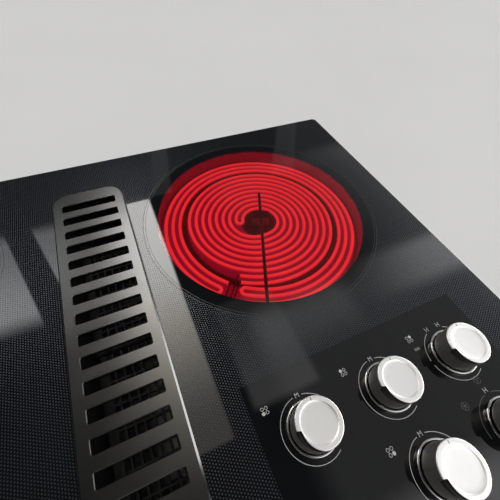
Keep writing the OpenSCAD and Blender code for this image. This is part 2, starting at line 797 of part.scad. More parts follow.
throat_screw_z = throat_end + sleeve_l / 2;
throat_screw_y = open_l / 3;
module vent_throat() {
    color("#6f7275") difference() {
        union() {
            translate([0, 0, z_glass - throat_l / 2]) cube([throat_w, throat_d, throat_l], center = true);
            translate([0, 0, z_glass - sheet_t / 2])
                cube([throat_w + 2 * flange_w, throat_d + 2 * flange_w, sheet_t], center = true);
        }
        difference() {
            translate([0, 0, z_glass - throat_l / 2])
                cube([throat_in_w, throat_in_l, throat_l + 2], center = true);
            for (s = [-1, 1]) {
                translate([s * (throat_in_w / 2 - ledge_w / 2), 0, z_ledge - sheet_t / 2])
                    cube([ledge_w, throat_in_l + 2, sheet_t], center = true);
            }
        }
        throat_screw_holes();
    }
}

module throat_screw_holes() {
    for (sx = [-1, 1]) {
        for (sy = [-1, 1]) {
            translate([sx * (throat_in_w + plenum_w) / 4, sy * throat_screw_y, throat_screw_z])
                rotate([0, 90, 0]) cylinder(r = screw_r + screw_clear,
                    h = (plenum_w - throat_in_w) / 2 + 4 * sheet_t, center = true);
        }
    }
}

// The side outline of the plenum, drawn in by a wall of thickness t.
function plenum_outline(t, lift) =
    let (dy = plenum_half - plenum_floor, dz = plenum_drop - plenum_bend,
         slope = sqrt(dy * dy + dz * dz),
         bend = plenum_bottom + (t * slope + (plenum_half - t - plenum_floor) * dz) / dy,
         floor_y = plenum_floor + t * (dy - slope) / dz)
    [[-(plenum_half - t), plenum_top + lift], [-(plenum_half - t), bend],
     [-floor_y, plenum_bottom + t], [floor_y, plenum_bottom + t],
     [plenum_half - t, bend], [plenum_half - t, plenum_top + lift]];

module along_x(from, length) {
    translate([from, 0, 0]) rotate([90, 0, 90]) linear_extrude(length) children();
}

module plenum_box() {
    color("#a3a6a8") difference() {
        along_x(-plenum_w / 2, plenum_w) polygon(plenum_outline(0, 0));
        difference() {
            along_x(-plenum_w / 2 + sheet_t, plenum_w - 2 * sheet_t)
                polygon(plenum_outline(sheet_t, 1));
            plenum_lips();
        }
        translate([blower_x, 0, z_blower]) rotate([0, 90, 0])
            cylinder(r = inlet_r + inlet_gap, h = 4 * sheet_t, center = true, $fn = 96);
        flange_screw_holes();
        throat_screw_holes();
    }
}

// The folded strips that close the plenum's mouth onto the throat.
module plenum_lips() {
    for (s = [-1, 1]) {
        translate([s * (plenum_w / 2 - plenum_lip / 2), 0, plenum_top - sleeve_l / 2])
            cube([plenum_lip, 2 * plenum_half, sleeve_l], center = true);
    }
}

// The scroll's outline in the plane across the blower's axis, from the tongue round to the outlet.
function scroll_at(s, grow) =
    polar(scroll_r0 + (scroll_r1 - scroll_r0) * s / scroll_sweep + grow, scroll_start - s);
function scroll_outline(grow, turn, drop) =
    concat([scroll_at(-turn, grow)],
           [for (k = [1 : scroll_sweep / 5]) scroll_at(k * 5, grow)],
           [[scroll_r1 + grow, -drop], [outlet_in - grow, -drop]]);

module across_blower(from, length) {
    translate([from, 0, z_blower]) rotate([90, 0, 90]) linear_extrude(length) children();
}
module flange_screw_places() {
    for (s = flange_turns) {
        at = scroll_at(s, scroll_flange / 2 + 1);
        translate([0, at[0], z_blower + at[1]]) children();
    }
}
module flange_screw_holes() {
    flange_screw_places() translate([blower_x, 0, 0]) rotate([0, 90, 0])
        cylinder(r = screw_r + screw_clear, h = 8 * sheet_t, center = true);
}

module blower_cover() {
    color("#b7babc") difference() {
        across_blower(blower_x, sheet_t) polygon(scroll_outline(scroll_flange, 0, scroll_r1));
        translate([blower_x, 0, z_blower]) rotate([0, 90, 0])
            cylinder(r = inlet_r, h = 4 * sheet_t, center = true, $fn = 96);
        flange_screw_holes();
    }
    color("#b7babc") translate([scroll_x, 0, z_blower]) rotate([0, 90, 0]) difference() {
        cylinder(r = inlet_r + sheet_t, h = inlet_lip, $fn = 96);
        translate([0, 0, -1]) cylinder(r = inlet_r, h = inlet_lip + 2, $fn = 96);
    }
}

module blower_scroll() {
    back_x = scroll_x + scroll_w;
    color("#c0c3c5") difference() {
        across_blower(scroll_x, scroll_w + sheet_t) polygon(scroll_outline(0, 0, scroll_r1));
        across_blower(scroll_x - 1, scroll_w + 1)
            polygon(scroll_outline(-sheet_t, tongue_turn, scroll_r1 + 1));
        translate([back_x, 0, z_blower]) rotate([0, 90, 0])
            cylinder(r = axle_hole_r, h = 6 * sheet_t, center = true);
    }
}

module blower_wheel() {
    blade_in = inlet_r + 3;
    blade_mid = (blade_in + wheel_r) / 2;
    blade_l = wheel_r - blade_in;
    color("#5f6366") translate([wheel_x, 0, z_blower]) rotate([90, 0, 90]) {
        difference() {
            union() {
                translate([0, 0, wheel_l - wheel_plate]) cylinder(r = wheel_r, h = wheel_plate, $fn = 96);
                translate([0, 0, wheel_l - hub_l]) cylinder(r = hub_r, h = hub_l);
            }
            translate([0, 0, wheel_l - hub_l - 1]) cylinder(r = axle_r + run_gap, h = hub_l + 2);
        }
        difference() {
            cylinder(r = wheel_r, h = wheel_ring, $fn = 96);
            translate([0, 0, -1]) cylinder(r = blade_in, h = wheel_ring + 2, $fn = 96);
        }
        for (k = [0 : blade_count - 1]) {
            rotate(360 * k / blade_count) translate([blade_mid, 0, wheel_l / 2]) rotate(blade_turn)
                cube([blade_l, sheet_t, wheel_l - wheel_plate], center = true);
        }
    }
}

module motor_shaft() {
    from = wheel_x + wheel_l - hub_l;
    color("#c8cacc") translate([from, 0, z_blower]) rotate([0, 90, 0])
        cylinder(r = axle_r, h = motor_x + motor_l / 2 - from, $fn = 48);
}

module motor() {
    color("#44474a") translate([motor_x, 0, z_blower]) rotate([0, 90, 0]) difference() {
        union() {
            cylinder(r = motor_r, h = motor_l, $fn = 96);
            translate([0, 0, motor_l]) cylinder(r = motor_r / 2, h = bell_h);
        }
        translate([0, 0, -1]) cylinder(r = axle_r + run_gap, h = motor_l / 2 + 1 + touch_gap, $fn = 48);
    }
}

module motor_mounts() {
    color("#1f2022") for (k = [0 : 2]) {
        translate([motor_x - motor_gap, 0, z_blower]) rotate([90, 0, 90]) rotate(90 + 120 * k)
            translate([motor_r - mount_inset, 0, 0]) cylinder(r = mount_r, h = motor_gap);
    }
}

module duct_collar() {
    color("#bcbfc1") translate([collar_x, collar_y, z_outlet]) difference() {
        union() {
            translate([0, 0, -sheet_t / 2]) cube([collar_plate, collar_plate, sheet_t], center = true);
            translate([0, 0, -collar_l - sheet_t]) cylinder(r = collar_r, h = collar_l + sheet_t, $fn = 96);
        }
        translate([0, 0, -collar_l - sheet_t - 1])
            cylinder(r = collar_r - sheet_t, h = collar_l + sheet_t + 2, $fn = 96);
    }
}

function knob_x(i) = knob_x0 + knob_cols[i] * knob_step;
function knob_y(i) = (1 - knob_rows[i]) * knob_row_step - knob_front;
module at_knob(i) { translate([knob_x(i), knob_y(i), z_top]) children(); }

// The flat-sided shaft end and the bore that takes it.
module flat_shaft(grow) {
    intersection() {
        circle(r = shaft_r + grow, $fn = 48);
        translate([-shaft_r - grow - 1, -shaft_r - 1])
            square([shaft_r + grow + 1 + flat_x + grow, 2 * shaft_r + 2]);
    }
}

module knob_trims() {
    color("#c9cbcd") for (i = [0 : 4]) at_knob(i) rotate_extrude($fn = 96)
        polygon([[glass_hole_r, 0], [trim_r, 0], [trim_r, trim_h - 0.6], [trim_r - 0.6, trim_h],
                 [knob_r + 0.9, trim_h], [knob_r + 0.6, trim_h - 0.6], [knob_r + 0.6, 0.8],
                 [glass_hole_r, 0.8]]);
}

// A turned knob: a skirt, a finger scoop in front, a dished top and a boss with a flat-sided bore.
module knob(i) {
    waist_r = scoop_x - scoop_r - scoop_slide * sin(scoop_half);
    cavity_h = knob_h - knob_skin - knob_foot;
    color("#d2d3d4") at_knob(i) difference() {
        union() {
            difference() {
                rotate_extrude($fn = 96)
                    polygon([[0, knob_foot], [knob_r, knob_foot], [knob_r, knob_h - knob_edge_r],
                             [knob_r - knob_edge_r, knob_h], [dish_r + dish_t, knob_h],
                             [dish_r, knob_h - dish_t], [0, knob_h - dish_t]]);
                translate([0, 0, knob_foot - 1])
                    cylinder(r = waist_r - knob_wall, h = cavity_h + 1, $fn = 96);
            }
            translate([0, 0, knob_foot]) cylinder(r = shaft_r + boss_wall, h = cavity_h);
        }
        rotate(scoop_turn) scoop();
        translate([0, 0, knob_foot - 1]) linear_extrude(cavity_h + 1) flat_shaft(run_gap);
    }
}
module scoop() {
    translate([0, scoop_slide, scoop_z]) rotate(-scoop_half)
        rotate_extrude(angle = 2 * scoop_half, $fn = 96)
            translate([scoop_x, 0]) circle(r = scoop_r, $fn = 48);
}

module shaft(i) {
    foot = z_switch - z_top - shaft_depth + touch_gap;
    round_top = z_switch - z_top + bushing_l;
    color("#c4a860") at_knob(i) {
        translate([0, 0, foot]) cylinder(r = shaft_r, h = round_top - foot, $fn = 48);
        translate([0, 0, round_top]) linear_extrude(shaft_top - round_top) flat_shaft(0);
    }
}

// A switch hangs under the bracket by its threaded bushing.
module switch(i) {
    color("#e8e4dc") translate([knob_x(i), knob_y(i), z_switch]) difference() {
        union() {
            block([-switch_w / 2, -switch_d / 2, -switch_h], [switch_w / 2, switch_d / 2, 0]);
            cylinder(r = bushing_r, h = bushing_l, $fn = 48);
        }
        translate([0, 0, -shaft_depth])
            cylinder(r = shaft_r + run_gap, h = shaft_depth + bushing_l + 1, $fn = 48);
    }
}

// The bracket is an inverted channel that stands on the floor of the burner box.
bracket_left = knob_x0 - bracket_margin;
bracket_right = knob_x0 + 2 * knob_step + bracket_margin;
module control_bracket() {
    color("#9fa2a4") difference() {
        block([bracket_left, -bracket_front, z_floor], [bracket_right, -bracket_back, z_bracket]);
        block([bracket_left - 1, -bracket_front + sheet_t, z_floor - 1],
              [bracket_right + 1, -bracket_back - sheet_t, z_switch]);
        for (i = [0 : 4]) translate([knob_x(i), knob_y(i), z_switch - 1])
            cylinder(r = bushing_r + screw_clear, h = 4 * sheet_t);
    }
}

module supply_box() {
    color("#a9acae") translate([supply_x, supply_y, supply_top]) difference() {
        block([-supply_w / 2, -supply_d / 2, -supply_h], [supply_w / 2, supply_d / 2, 0]);
        block([-supply_w / 2 + sheet_t, -supply_d / 2 + sheet_t, -supply_h - 1],
              [supply_w / 2 - sheet_t, supply_d / 2 - sheet_t, -sheet_t]);
        translate([0, 0, -sheet_t]) cylinder(r = conduit_r, h = 4 * sheet_t, center = true);
        translate([supply_w / 2, 0, -supply_h / 2]) rotate([0, 90, 0])
            cylinder(r = conduit_r, h = 4 * sheet_t, center = true);
    }
}
module supply_cover() {
    color("#a9acae") translate([supply_x, supply_y, supply_top - supply_h])
        block([-supply_w / 2, -supply_d / 2, -sheet_t], [supply_w / 2, supply_d / 2, 0]);
}

module hold_down_brackets() {
    color("#9fa2a4") for (sx = [-1, 1]) {
        for (sy = [-1, 1]) {
            translate([sx * box_w / 2, sy * hold_y, 0]) scale_x(sx) difference() {
                union() {
                    block([0, -hold_w / 2, -hold_drop], [hold_t, hold_w / 2, hold_h - hold_drop]);
                    block([0, -hold_w / 2, -hold_drop], [hold_reach, hold_w / 2, hold_t - hold_drop]);
                }
                translate([clamp_x, 0, -hold_drop - 1])
                    cylinder(r = clamp_r + screw_clear, h = hold_t + 2);
                translate([0, 0, hold_screw_z]) rotate([0, 90, 0])
                    cylinder(r = screw_r + screw_clear, h = 8 * sheet_t, center = true);
            }
        }
    }
}
module scale_x(sx) {
    if (sx > 0) {
        children();
    } else {
        mirror([1, 0, 0]) children();
    }
}
module clamp_screws() {
    color("#c4c6c8") for (sx = [-1, 1]) {
        for (sy = [-1, 1]) {
            translate([sx * (box_w / 2 + clamp_x), sy * hold_y, -hold_drop - clamp_tail]) {
                cylinder(r = clamp_r, h = hold_drop + clamp_tail - counter_t);
                translate([0, 0, -clamp_head_h]) cylinder(r = clamp_r + 1, h = clamp_head_h + 1);
            }
        }
    }
}

// Screws of the sleeve, the scroll flange and the hold-downs, and the nuts of the switches.
module fasteners() {
    color("#c4c6c8") {
        for (sx = [-1, 1]) {
            for (sy = [-1, 1]) {
                translate([sx * plenum_w / 2, sy * throat_screw_y, throat_screw_z]) rotate([0, sx * 90, 0])
                    screw(plenum_w / 2 - throat_in_w / 2 + 1);
                translate([sx * (box_w / 2 + hold_t), sy * hold_y, hold_screw_z])
                    rotate([0, sx * 90, 0]) screw(4 * sheet_t);
            }
        }
        flange_screw_places() translate([scroll_x, 0, 0]) rotate([0, 90, 0]) screw(4 * sheet_t);
        for (i = [0 : 4]) translate([knob_x(i), knob_y(i), z_bracket]) difference() {
            cylinder(r = nut_r, h = nut_h, $fn = 6);
            translate([0, 0, -1]) cylinder(r = bushing_r + run_gap, h = nut_h + 2, $fn = 48);
        }
    }
}

glass_top();
counter_seal();
burner_box();
heater_rails();
right_rear_pan();
right_rear_insulation();
right_rear_outer_winding();
right_rear_inner_winding();
right_rear_limiter();
right_rear_terminals();
left_pan(1);  // left_rear_pan
left_insulation(1);  // left_rear_insulation
left_winding(1);  // left_rear_winding
left_limiter(1);  // left_rear_limiter
left_pan(-1);  // left_front_pan
left_insulation(-1);  // left_front_insulation
left_winding(-1);  // left_front_winding
left_limiter(-1);  // left_front_limiter
bridge_pan();
bridge_insulation();
bridge_winding();
bridge_limiter();
vent_grille();
grille_pads();
filter_frame();
filter_mesh();
filter_handle();
vent_throat();
plenum_box();
blower_cover();
blower_scroll();
blower_wheel();
motor_shaft();
motor();
motor_mounts();
duct_collar();
knob_trims();
knob(0);  // knob_left_front
knob(1);  // knob_left_rear
knob(2);  // knob_right_rear
knob(3);  // knob_bridge
knob(4);  // knob_fan
shaft(0);  // shaft_left_front
shaft(1);  // shaft_left_rear
shaft(2);  // shaft_right_rear
shaft(3);  // shaft_bridge
shaft(4);  // shaft_fan
switch(0);  // switch_left_front
switch(1);  // switch_left_rear
switch(2);  // switch_right_rear
switch(3);  // switch_bridge
switch(4);  // switch_fan
control_bracket();
supply_box();
supply_cover();
hold_down_brackets();
clamp_screws();
fasteners();
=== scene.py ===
# %% [markdown]
# # An electric downdraft cooktop
#
# This lesson dresses a cooktop whose frame, a set of exact solids, was made before. The black
# glass, the glowing heater, the vent grille, the dials and their printed marks are made here, and
# the sheet-metal pieces under the counter keep their solids and get a finish. Every length is in
# metres, so a size that is thought of in millimetres is written as a number times MM.

# %% Load the frame
import json
import math

import bmesh
import bpy
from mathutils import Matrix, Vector


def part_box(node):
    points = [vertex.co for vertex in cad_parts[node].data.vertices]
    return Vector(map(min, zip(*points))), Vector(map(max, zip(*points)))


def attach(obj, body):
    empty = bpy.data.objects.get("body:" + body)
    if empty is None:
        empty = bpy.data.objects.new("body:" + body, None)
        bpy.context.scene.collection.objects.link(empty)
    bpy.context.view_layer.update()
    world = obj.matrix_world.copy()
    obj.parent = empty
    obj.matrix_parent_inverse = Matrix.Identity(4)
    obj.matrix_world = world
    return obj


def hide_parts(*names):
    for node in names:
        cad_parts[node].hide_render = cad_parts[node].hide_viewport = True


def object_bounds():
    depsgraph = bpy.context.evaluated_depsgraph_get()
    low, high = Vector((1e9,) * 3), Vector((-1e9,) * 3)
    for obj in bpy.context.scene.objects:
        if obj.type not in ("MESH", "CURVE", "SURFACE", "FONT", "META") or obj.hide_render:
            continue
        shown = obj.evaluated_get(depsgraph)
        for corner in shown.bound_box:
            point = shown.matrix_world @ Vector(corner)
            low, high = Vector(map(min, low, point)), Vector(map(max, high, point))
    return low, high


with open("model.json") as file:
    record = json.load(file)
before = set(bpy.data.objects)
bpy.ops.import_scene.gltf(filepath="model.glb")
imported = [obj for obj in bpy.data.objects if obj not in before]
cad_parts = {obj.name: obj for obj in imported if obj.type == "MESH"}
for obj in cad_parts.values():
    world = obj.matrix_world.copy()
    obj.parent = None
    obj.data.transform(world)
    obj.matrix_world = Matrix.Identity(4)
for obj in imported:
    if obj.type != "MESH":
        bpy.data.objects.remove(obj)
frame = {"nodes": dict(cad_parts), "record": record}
cad_low, cad_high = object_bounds()
scene = bpy.context.scene
scene.view_settings.view_transform = "Standard"
MM = 0.001


def box_centre(node_name):
    low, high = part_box(node_name)
    return (low + high) / 2


def box_size(node_name):
    low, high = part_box(node_name)
    return high - low


glass_w, glass_d, glass_t = box_size("glass_top")
z_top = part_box("glass_top")[1].z
floor_z = cad_low.z
DIALS = ["left_front", "left_rear", "right_rear", "bridge", "fan"]
dial_places = [box_centre("shaft_" + dial).xy for dial in DIALS]
print("glass", round(glass_w, 4), "by", round(glass_d, 4), "top at", round(z_top, 4))

# %% [markdown]
# ## Camera
#
# The photograph was taken from above the front right of the vent with a wide lens, turned a
# little to one side. The place and the angles were found by matching the corners of the glass,
# the vent and the ring of the heater. Nothing is shifted and no depth of field is used, so the
# camera can be moved to any other side.

# %% Camera
LENS = 22.275
CAMERA_PLACE = (55.3 * MM, -156.1 * MM, 293.3 * MM)
CAMERA_TURN = (37.81, -3.03, -24.12)
view = bpy.data.cameras.new("camera")
view.lens = LENS
view.sensor_width = 36
view.clip_start = 0.01
camera = bpy.data.objects.new("camera", view)
camera.location = CAMERA_PLACE
camera.rotation_euler = [math.radians(angle) for angle in CAMERA_TURN]
scene.collection.objects.link(camera)
scene.camera = camera
print("camera at", tuple(round(v, 3) for v in camera.location))

# %% [markdown]
# ## Node helpers
#
# A material or a shape in Blender is a graph of nodes. Writing each graph out node by node takes
# many lines, so a few helpers add one node, fill its sockets and hand back what it puts out. A
# value may be a number or the output of another node, and the helper does what fits.

# %% Node helpers
def fill(tree, socket, value):
    if isinstance(value, bpy.types.NodeSocket):
        tree.links.new(value, socket)
    else:
        socket.default_value = value


def add_node(tree, kind, values=None, **settings):
    made = tree.nodes.new(kind)
    for name, value in settings.items():
        setattr(made, name, value)
    for name, value in (values or {}).items():
        fill(tree, made.inputs[name], value)
    return made


def calc(tree, operation, *values):
    made = add_node(tree, "ShaderNodeMath", operation=operation)
    for socket, value in zip(made.inputs, values):
        fill(tree, socket, value)
    return made.outputs[0]


def product(tree, first, *others):
    for value in others:
        first = calc(tree, "MULTIPLY", first, value)
    return first


def scaled(tree, value, factor, offset):
    return calc(tree, "MULTIPLY_ADD", value, factor, offset)


def opposite(tree, share):
    return calc(tree, "SUBTRACT", 1.0, share)


def calc_vector(tree, operation, *values):
    made = add_node(tree, "ShaderNodeVectorMath", operation=operation)
    for socket, value in zip(made.inputs, values):
        fill(tree, socket, value)
    return made.outputs["Value" if operation in ("LENGTH", "DISTANCE") else "Vector"]


def remap(tree, value, low, high, to_low, to_high):
    made = add_node(tree, "ShaderNodeMapRange", interpolation_type="SMOOTHSTEP")
    for socket, number in zip(made.inputs, (value, low, high, to_low, to_high)):
        fill(tree, socket, number)
    return made.outputs[0]


def mix_colour(tree, share, first, second):
    made = add_node(tree, "ShaderNodeMix", data_type="RGBA")
    fill(tree, made.inputs[0], share)
    for socket, colour in ((made.inputs[6], first), (made.inputs[7], second)):
        fill(tree, socket, colour)
    return made.outputs[2]


def object_place(tree):
    return add_node(tree, "ShaderNodeTexCoord").outputs["Object"]


def noise(tree, place, scale, detail=3.0, roughness=0.55):
    values = {"Vector": place, "Scale": scale, "Detail": detail, "Roughness": roughness}
    return add_node(tree, "ShaderNodeTexNoise", values).outputs["Fac"]


def from_above(tree, place):
    return calc_vector(tree, "MULTIPLY", place, (1.0, 1.0, 0.0))


def grey(level, tint=(1.0, 1.0, 1.0)):
    return (level * tint[0], level * tint[1], level * tint[2], 1.0)


def new_group(name, kind, inputs, outputs):
    group = bpy.data.node_groups.new(name, kind)
    for label, socket_type, value in inputs:
        socket = group.interface.new_socket(label, in_out="INPUT", socket_type=socket_type)
        if value is not None:
            socket.default_value = value
    for label, socket_type in outputs:
        group.interface.new_socket(label, in_out="OUTPUT", socket_type=socket_type)
    start = group.nodes.new("NodeGroupInput").outputs
    end = group.nodes.new("NodeGroupOutput").inputs
    return group, start, end


def place_group(tree, group, **values):
    made = add_node(tree, "ShaderNodeGroup", node_tree=group)
    for name, value in values.items():
        fill(tree, made.inputs[name.replace("_", " ")], value)
    return made.outputs


print("node helpers ready")

# %% [markdown]
# ## Effects as node groups
#
# Each of four effects is a node group with named inputs, so that a finish sets it by its sizes.
# Handling marks are large soft clouds that make a polished face less perfect. Drawn streaks are
# noise that is squeezed along one direction, as rolling and brushing leave it. Zinc flowers are
# the crystals of galvanised sheet. Printed dots are a hexagonal screen, which this kind of glass
# carries on its whole face to hide scratches.

# %% Shared effect groups
FLOAT = "NodeSocketFloat"
VECTOR = "NodeSocketVector"
GEOMETRY = "NodeSocketGeometry"
MATERIAL = "NodeSocketMaterial"


def make_handling_marks():
    inputs = [("Size", FLOAT, 0.05), ("Fine Size", FLOAT, 0.004)]
    group, start, end = new_group("handling_marks", "ShaderNodeTree", inputs, [("Mask", FLOAT)])
    place = object_place(group)
    large = noise(group, place, calc(group, "DIVIDE", 1.0, start["Size"]), 3.0)
    small = noise(group, place, calc(group, "DIVIDE", 1.0, start["Fine Size"]), 4.0)
    soft = remap(group, large, 0.35, 0.7, 0.0, 1.0)
    fill(group, end["Mask"], product(group, soft, small))
    return group


def make_drawn_streaks():
    inputs = [("Stretch", VECTOR, (1.0, 1.0, 1.0)), ("Scale", FLOAT, 400.0)]
    group, start, end = new_group("drawn_streaks", "ShaderNodeTree", inputs, [("Streaks", FLOAT)])
    place = calc_vector(group, "MULTIPLY", object_place(group), start["Stretch"])
    coarse = noise(group, place, start["Scale"], 5.0, 0.7)
    fine = noise(group, place, product(group, start["Scale"], 3.1), 2.0)
    fill(group, end["Streaks"], scaled(group, fine, 0.35, product(group, coarse, 0.65)))
    return group


def make_zinc_flowers():
    inputs = [("Flower Size", FLOAT, 0.012)]
    outputs = [("Tone", FLOAT), ("Frost", FLOAT)]
    group, start, end = new_group("zinc_flowers", "ShaderNodeTree", inputs, outputs)
    place = object_place(group)
    warp = noise(group, place, 90.0, 2.0)
    shift = add_node(group, "ShaderNodeCombineXYZ", {"X": warp, "Y": warp, "Z": warp}).outputs[0]
    bent = calc_vector(group, "MULTIPLY_ADD", shift, (0.008, -0.006, 0.007), place)
    scale = calc(group, "DIVIDE", 1.0, start["Flower Size"])
    flowers = add_node(group, "ShaderNodeTexVoronoi", {"Vector": bent, "Scale": scale})
    tone = add_node(group, "ShaderNodeSeparateColor", {"Color": flowers.outputs["Color"]}).outputs[0]
    fill(group, end["Tone"], scaled(group, warp, 0.3, product(group, tone, 0.7)))
    fill(group, end["Frost"], noise(group, place, 900.0, 4.0, 0.7))
    return group


def make_printed_dots():
    inputs = [("Pitch", FLOAT, 0.0019), ("Dot Share", FLOAT, 0.3), ("Turn", FLOAT, 0.0)]
    group, start, end = new_group("printed_dots", "ShaderNodeTree", inputs, [("Mask", FLOAT)])
    turned = add_node(group, "ShaderNodeVectorRotate",
                      {"Vector": object_place(group), "Angle": start["Turn"]}, rotation_type="Z_AXIS")
    across = product(group, start["Pitch"], math.sqrt(3))
    cell = add_node(group, "ShaderNodeCombineXYZ", {"X": start["Pitch"], "Y": across, "Z": 1.0})
    grid = calc_vector(group, "DIVIDE", turned.outputs[0], cell.outputs[0])
    nearest = []
    for shift in (0.0, 0.5):
        moved = calc_vector(group, "FRACTION", calc_vector(group, "ADD", grid, (shift, shift, 0.0)))
        apart = calc_vector(group, "MULTIPLY", calc_vector(group, "SUBTRACT", moved, (0.5, 0.5, 0.0)),
                            (1.0, math.sqrt(3), 0.0))
        nearest.append(calc_vector(group, "LENGTH", apart))
    distance = calc(group, "MINIMUM", nearest[0], nearest[1])
    past = calc(group, "SUBTRACT", distance, start["Dot Share"])
    fill(group, end["Mask"], remap(group, past, -0.05, 0.05, 1.0, 0.0))
    return group


handling_marks = make_handling_marks()
drawn_streaks = make_drawn_streaks()
zinc_flowers = make_zinc_flowers()
printed_dots = make_printed_dots()
print("shared effects:", [g.name for g in (handling_marks, drawn_streaks, zinc_flowers, printed_dots)])

# %% [markdown]
# ## Finishes
#
# Each finish is one function that makes one material, so that its numbers stand together. A
# number that is the same all over a surface goes straight onto the shader's socket. What changes
# over the surface, such as a streak or a dot, comes from a shared effect or a noise and feeds the
# colour, the roughness or the bump.

# %% Helpers for finishes
def new_finish(name, colour, roughness, metallic=0.0, **sockets):
    made = bpy.data.materials.new(name)
    made.use_nodes = True
    tree = made.node_tree
    shader = tree.nodes["Principled BSDF"]
    values = {"Base Color": colour, "Roughness": roughness, "Metallic": metallic}
    values.update({label.replace("_", " "): value for label, value in sockets.items()})
    for label, value in values.items():
        shader.inputs[label].default_value = value
    made.diffuse_color = colour
    return made, tree, shader


def tint(tree, shader, share, first, second, label="Base Color"):
    fill(tree, shader.inputs[label], mix_colour(tree, share, first, second))


def darker(colour, share):
    return [channel * (1.0 - share) for channel in colour[:3]] + [1.0]


def marks_mask(tree, size, fine_size):
    return place_group(tree, handling_marks, Size=size, Fine_Size=fine_size)["Mask"]


def add_bump(tree, shader, height, distance, strength=1.0):
    values = {"Height": height, "Distance": distance, "Strength": strength}
    bump = add_node(tree, "ShaderNodeBump", values)
    fill(tree, shader.inputs["Normal"], bump.outputs[0])


def sheet_steel(name, light, dark, flower_size, roughness):
    made, tree, shader = new_finish(name, light, roughness, 0.9)
    zinc = place_group(tree, zinc_flowers, Flower_Size=flower_size)
    tint(tree, shader, zinc["Tone"], dark, light)
    frost = scaled(tree, zinc["Frost"], 0.16, product(tree, zinc["Tone"], 0.12))
    fill(tree, shader.inputs["Roughness"], calc(tree, "ADD", frost, roughness - 0.12))
    add_bump(tree, shader, zinc["Frost"], 0.00006, 0.5)
    return made


def drawn_metal(name, colour, roughness, stretch, scale, contrast=0.25, metallic=1.0):
    made, tree, shader = new_finish(name, colour, roughness, metallic)
    streaks = place_group(tree, drawn_streaks, Stretch=stretch, Scale=scale)["Streaks"]
    tint(tree, shader, streaks, darker(colour, contrast), colour)
    rough = remap(tree, streaks, 0.3, 0.7, roughness - 0.06, roughness + 0.08)
    fill(tree, shader.inputs["Roughness"], rough)
    add_bump(tree, shader, streaks, 0.00003, 0.6)
    return made


def moulded(name, colour, roughness, grain_scale, grain_depth, variation=0.12):
    made, tree, shader = new_finish(name, colour, roughness)
    place = object_place(tree)
    grain = noise(tree, place, grain_scale, 4.0, 0.6)
    cloud = noise(tree, place, grain_scale * 0.04, 3.0)
    tint(tree, shader, cloud, darker(colour, variation), colour)
    rough = remap(tree, grain, 0.3, 0.7, roughness - 0.05, roughness + 0.07)
    fill(tree, shader.inputs["Roughness"], rough)
    add_bump(tree, shader, grain, grain_depth, 0.7)
    return made


print("finish helpers ready")

# %% [markdown]
# ## The black glass
#
# The top is one pane of glass-ceramic. Its face is printed with a screen of tiny grey dots that
# only shows where something bright is mirrored, and the panel under the dials has no dots. A true
# pane would be dark see-through glass all over. Here only the field over the glowing heater is
# see-through, tinted deep red as such glass filters light, and the rest is opaque, which looks the
# same and renders much faster.

# %% Black glass and tinted window
PANEL_LOW = Vector((88.7 * MM, -265 * MM))
PANEL_HIGH = Vector((336.3 * MM, -94.6 * MM))
RING_R = {"right_rear": 148 * MM, "left_rear": 108 * MM, "left_front": 108 * MM}
RINGS = [(box_centre(heater_name + "_insulation").xy, radius) for heater_name, radius in RING_R.items()]
DOT_PITCH = 2.5 * MM
DOT_SHARE = 0.24
DOT_TURN = math.radians(30)
DOT_INK = grey(0.075, (1.0, 1.06, 1.26))
DOT_ROUGHNESS = 0.32
FACE_DEPTH = 0.2 * MM
GLASS_TONE = grey(0.003, (1.0, 1.1, 1.35))
WINDOW_TONE = (0.42, 0.024, 0.036, 1.0)
GLASS_IOR = 1.52
PANE_MARKS = (0.12, 0.01)


def outside_panel(tree, at):
    inside = 1.0
    for axis in (0, 1):
        above = calc(tree, "GREATER_THAN", at[axis], PANEL_LOW[axis])
        below = calc(tree, "LESS_THAN", at[axis], PANEL_HIGH[axis])
        inside = product(tree, inside, product(tree, above, below))
    return opposite(tree, inside)


def outside_rings(tree, place):
    outside = 1.0
    for centre, radius in RINGS:
        gap = calc_vector(tree, "DISTANCE", from_above(tree, place), (*centre, 0.0))
        outside = product(tree, outside, calc(tree, "GREATER_THAN", gap, radius))
    return outside


def black_glass():
    made, tree, shader = new_finish("black_glass", GLASS_TONE, 0.03, 0.0, IOR=GLASS_IOR)
    place = object_place(tree)
    at = add_node(tree, "ShaderNodeSeparateXYZ", {"Vector": place}).outputs
    dots = place_group(tree, printed_dots, Pitch=DOT_PITCH, Dot_Share=DOT_SHARE, Turn=DOT_TURN)["Mask"]
    face = calc(tree, "GREATER_THAN", at[2], z_top - FACE_DEPTH)
    field = product(tree, outside_panel(tree, at), outside_rings(tree, place))
    screen = product(tree, dots, face, field)
    tint(tree, shader, screen, GLASS_TONE, DOT_INK)
    fill(tree, shader.inputs["Metallic"], screen)
    smooth = scaled(tree, marks_mask(tree, *PANE_MARKS), 0.02, 0.015)
    fill(tree, shader.inputs["Roughness"], scaled(tree, screen, DOT_ROUGHNESS, smooth))
    return made


def window_glass():
    made, tree, shader = new_finish("window_glass", WINDOW_TONE, 0.0, 0.0, IOR=GLASS_IOR,
                                    Transmission_Weight=1.0)
    fill(tree, shader.inputs["Roughness"], product(tree, marks_mask(tree, *PANE_MARKS), 0.008))
    return made


glass_black = black_glass()
glass_window = window_glass()
print("glass finishes:", glass_black.name, glass_window.name)
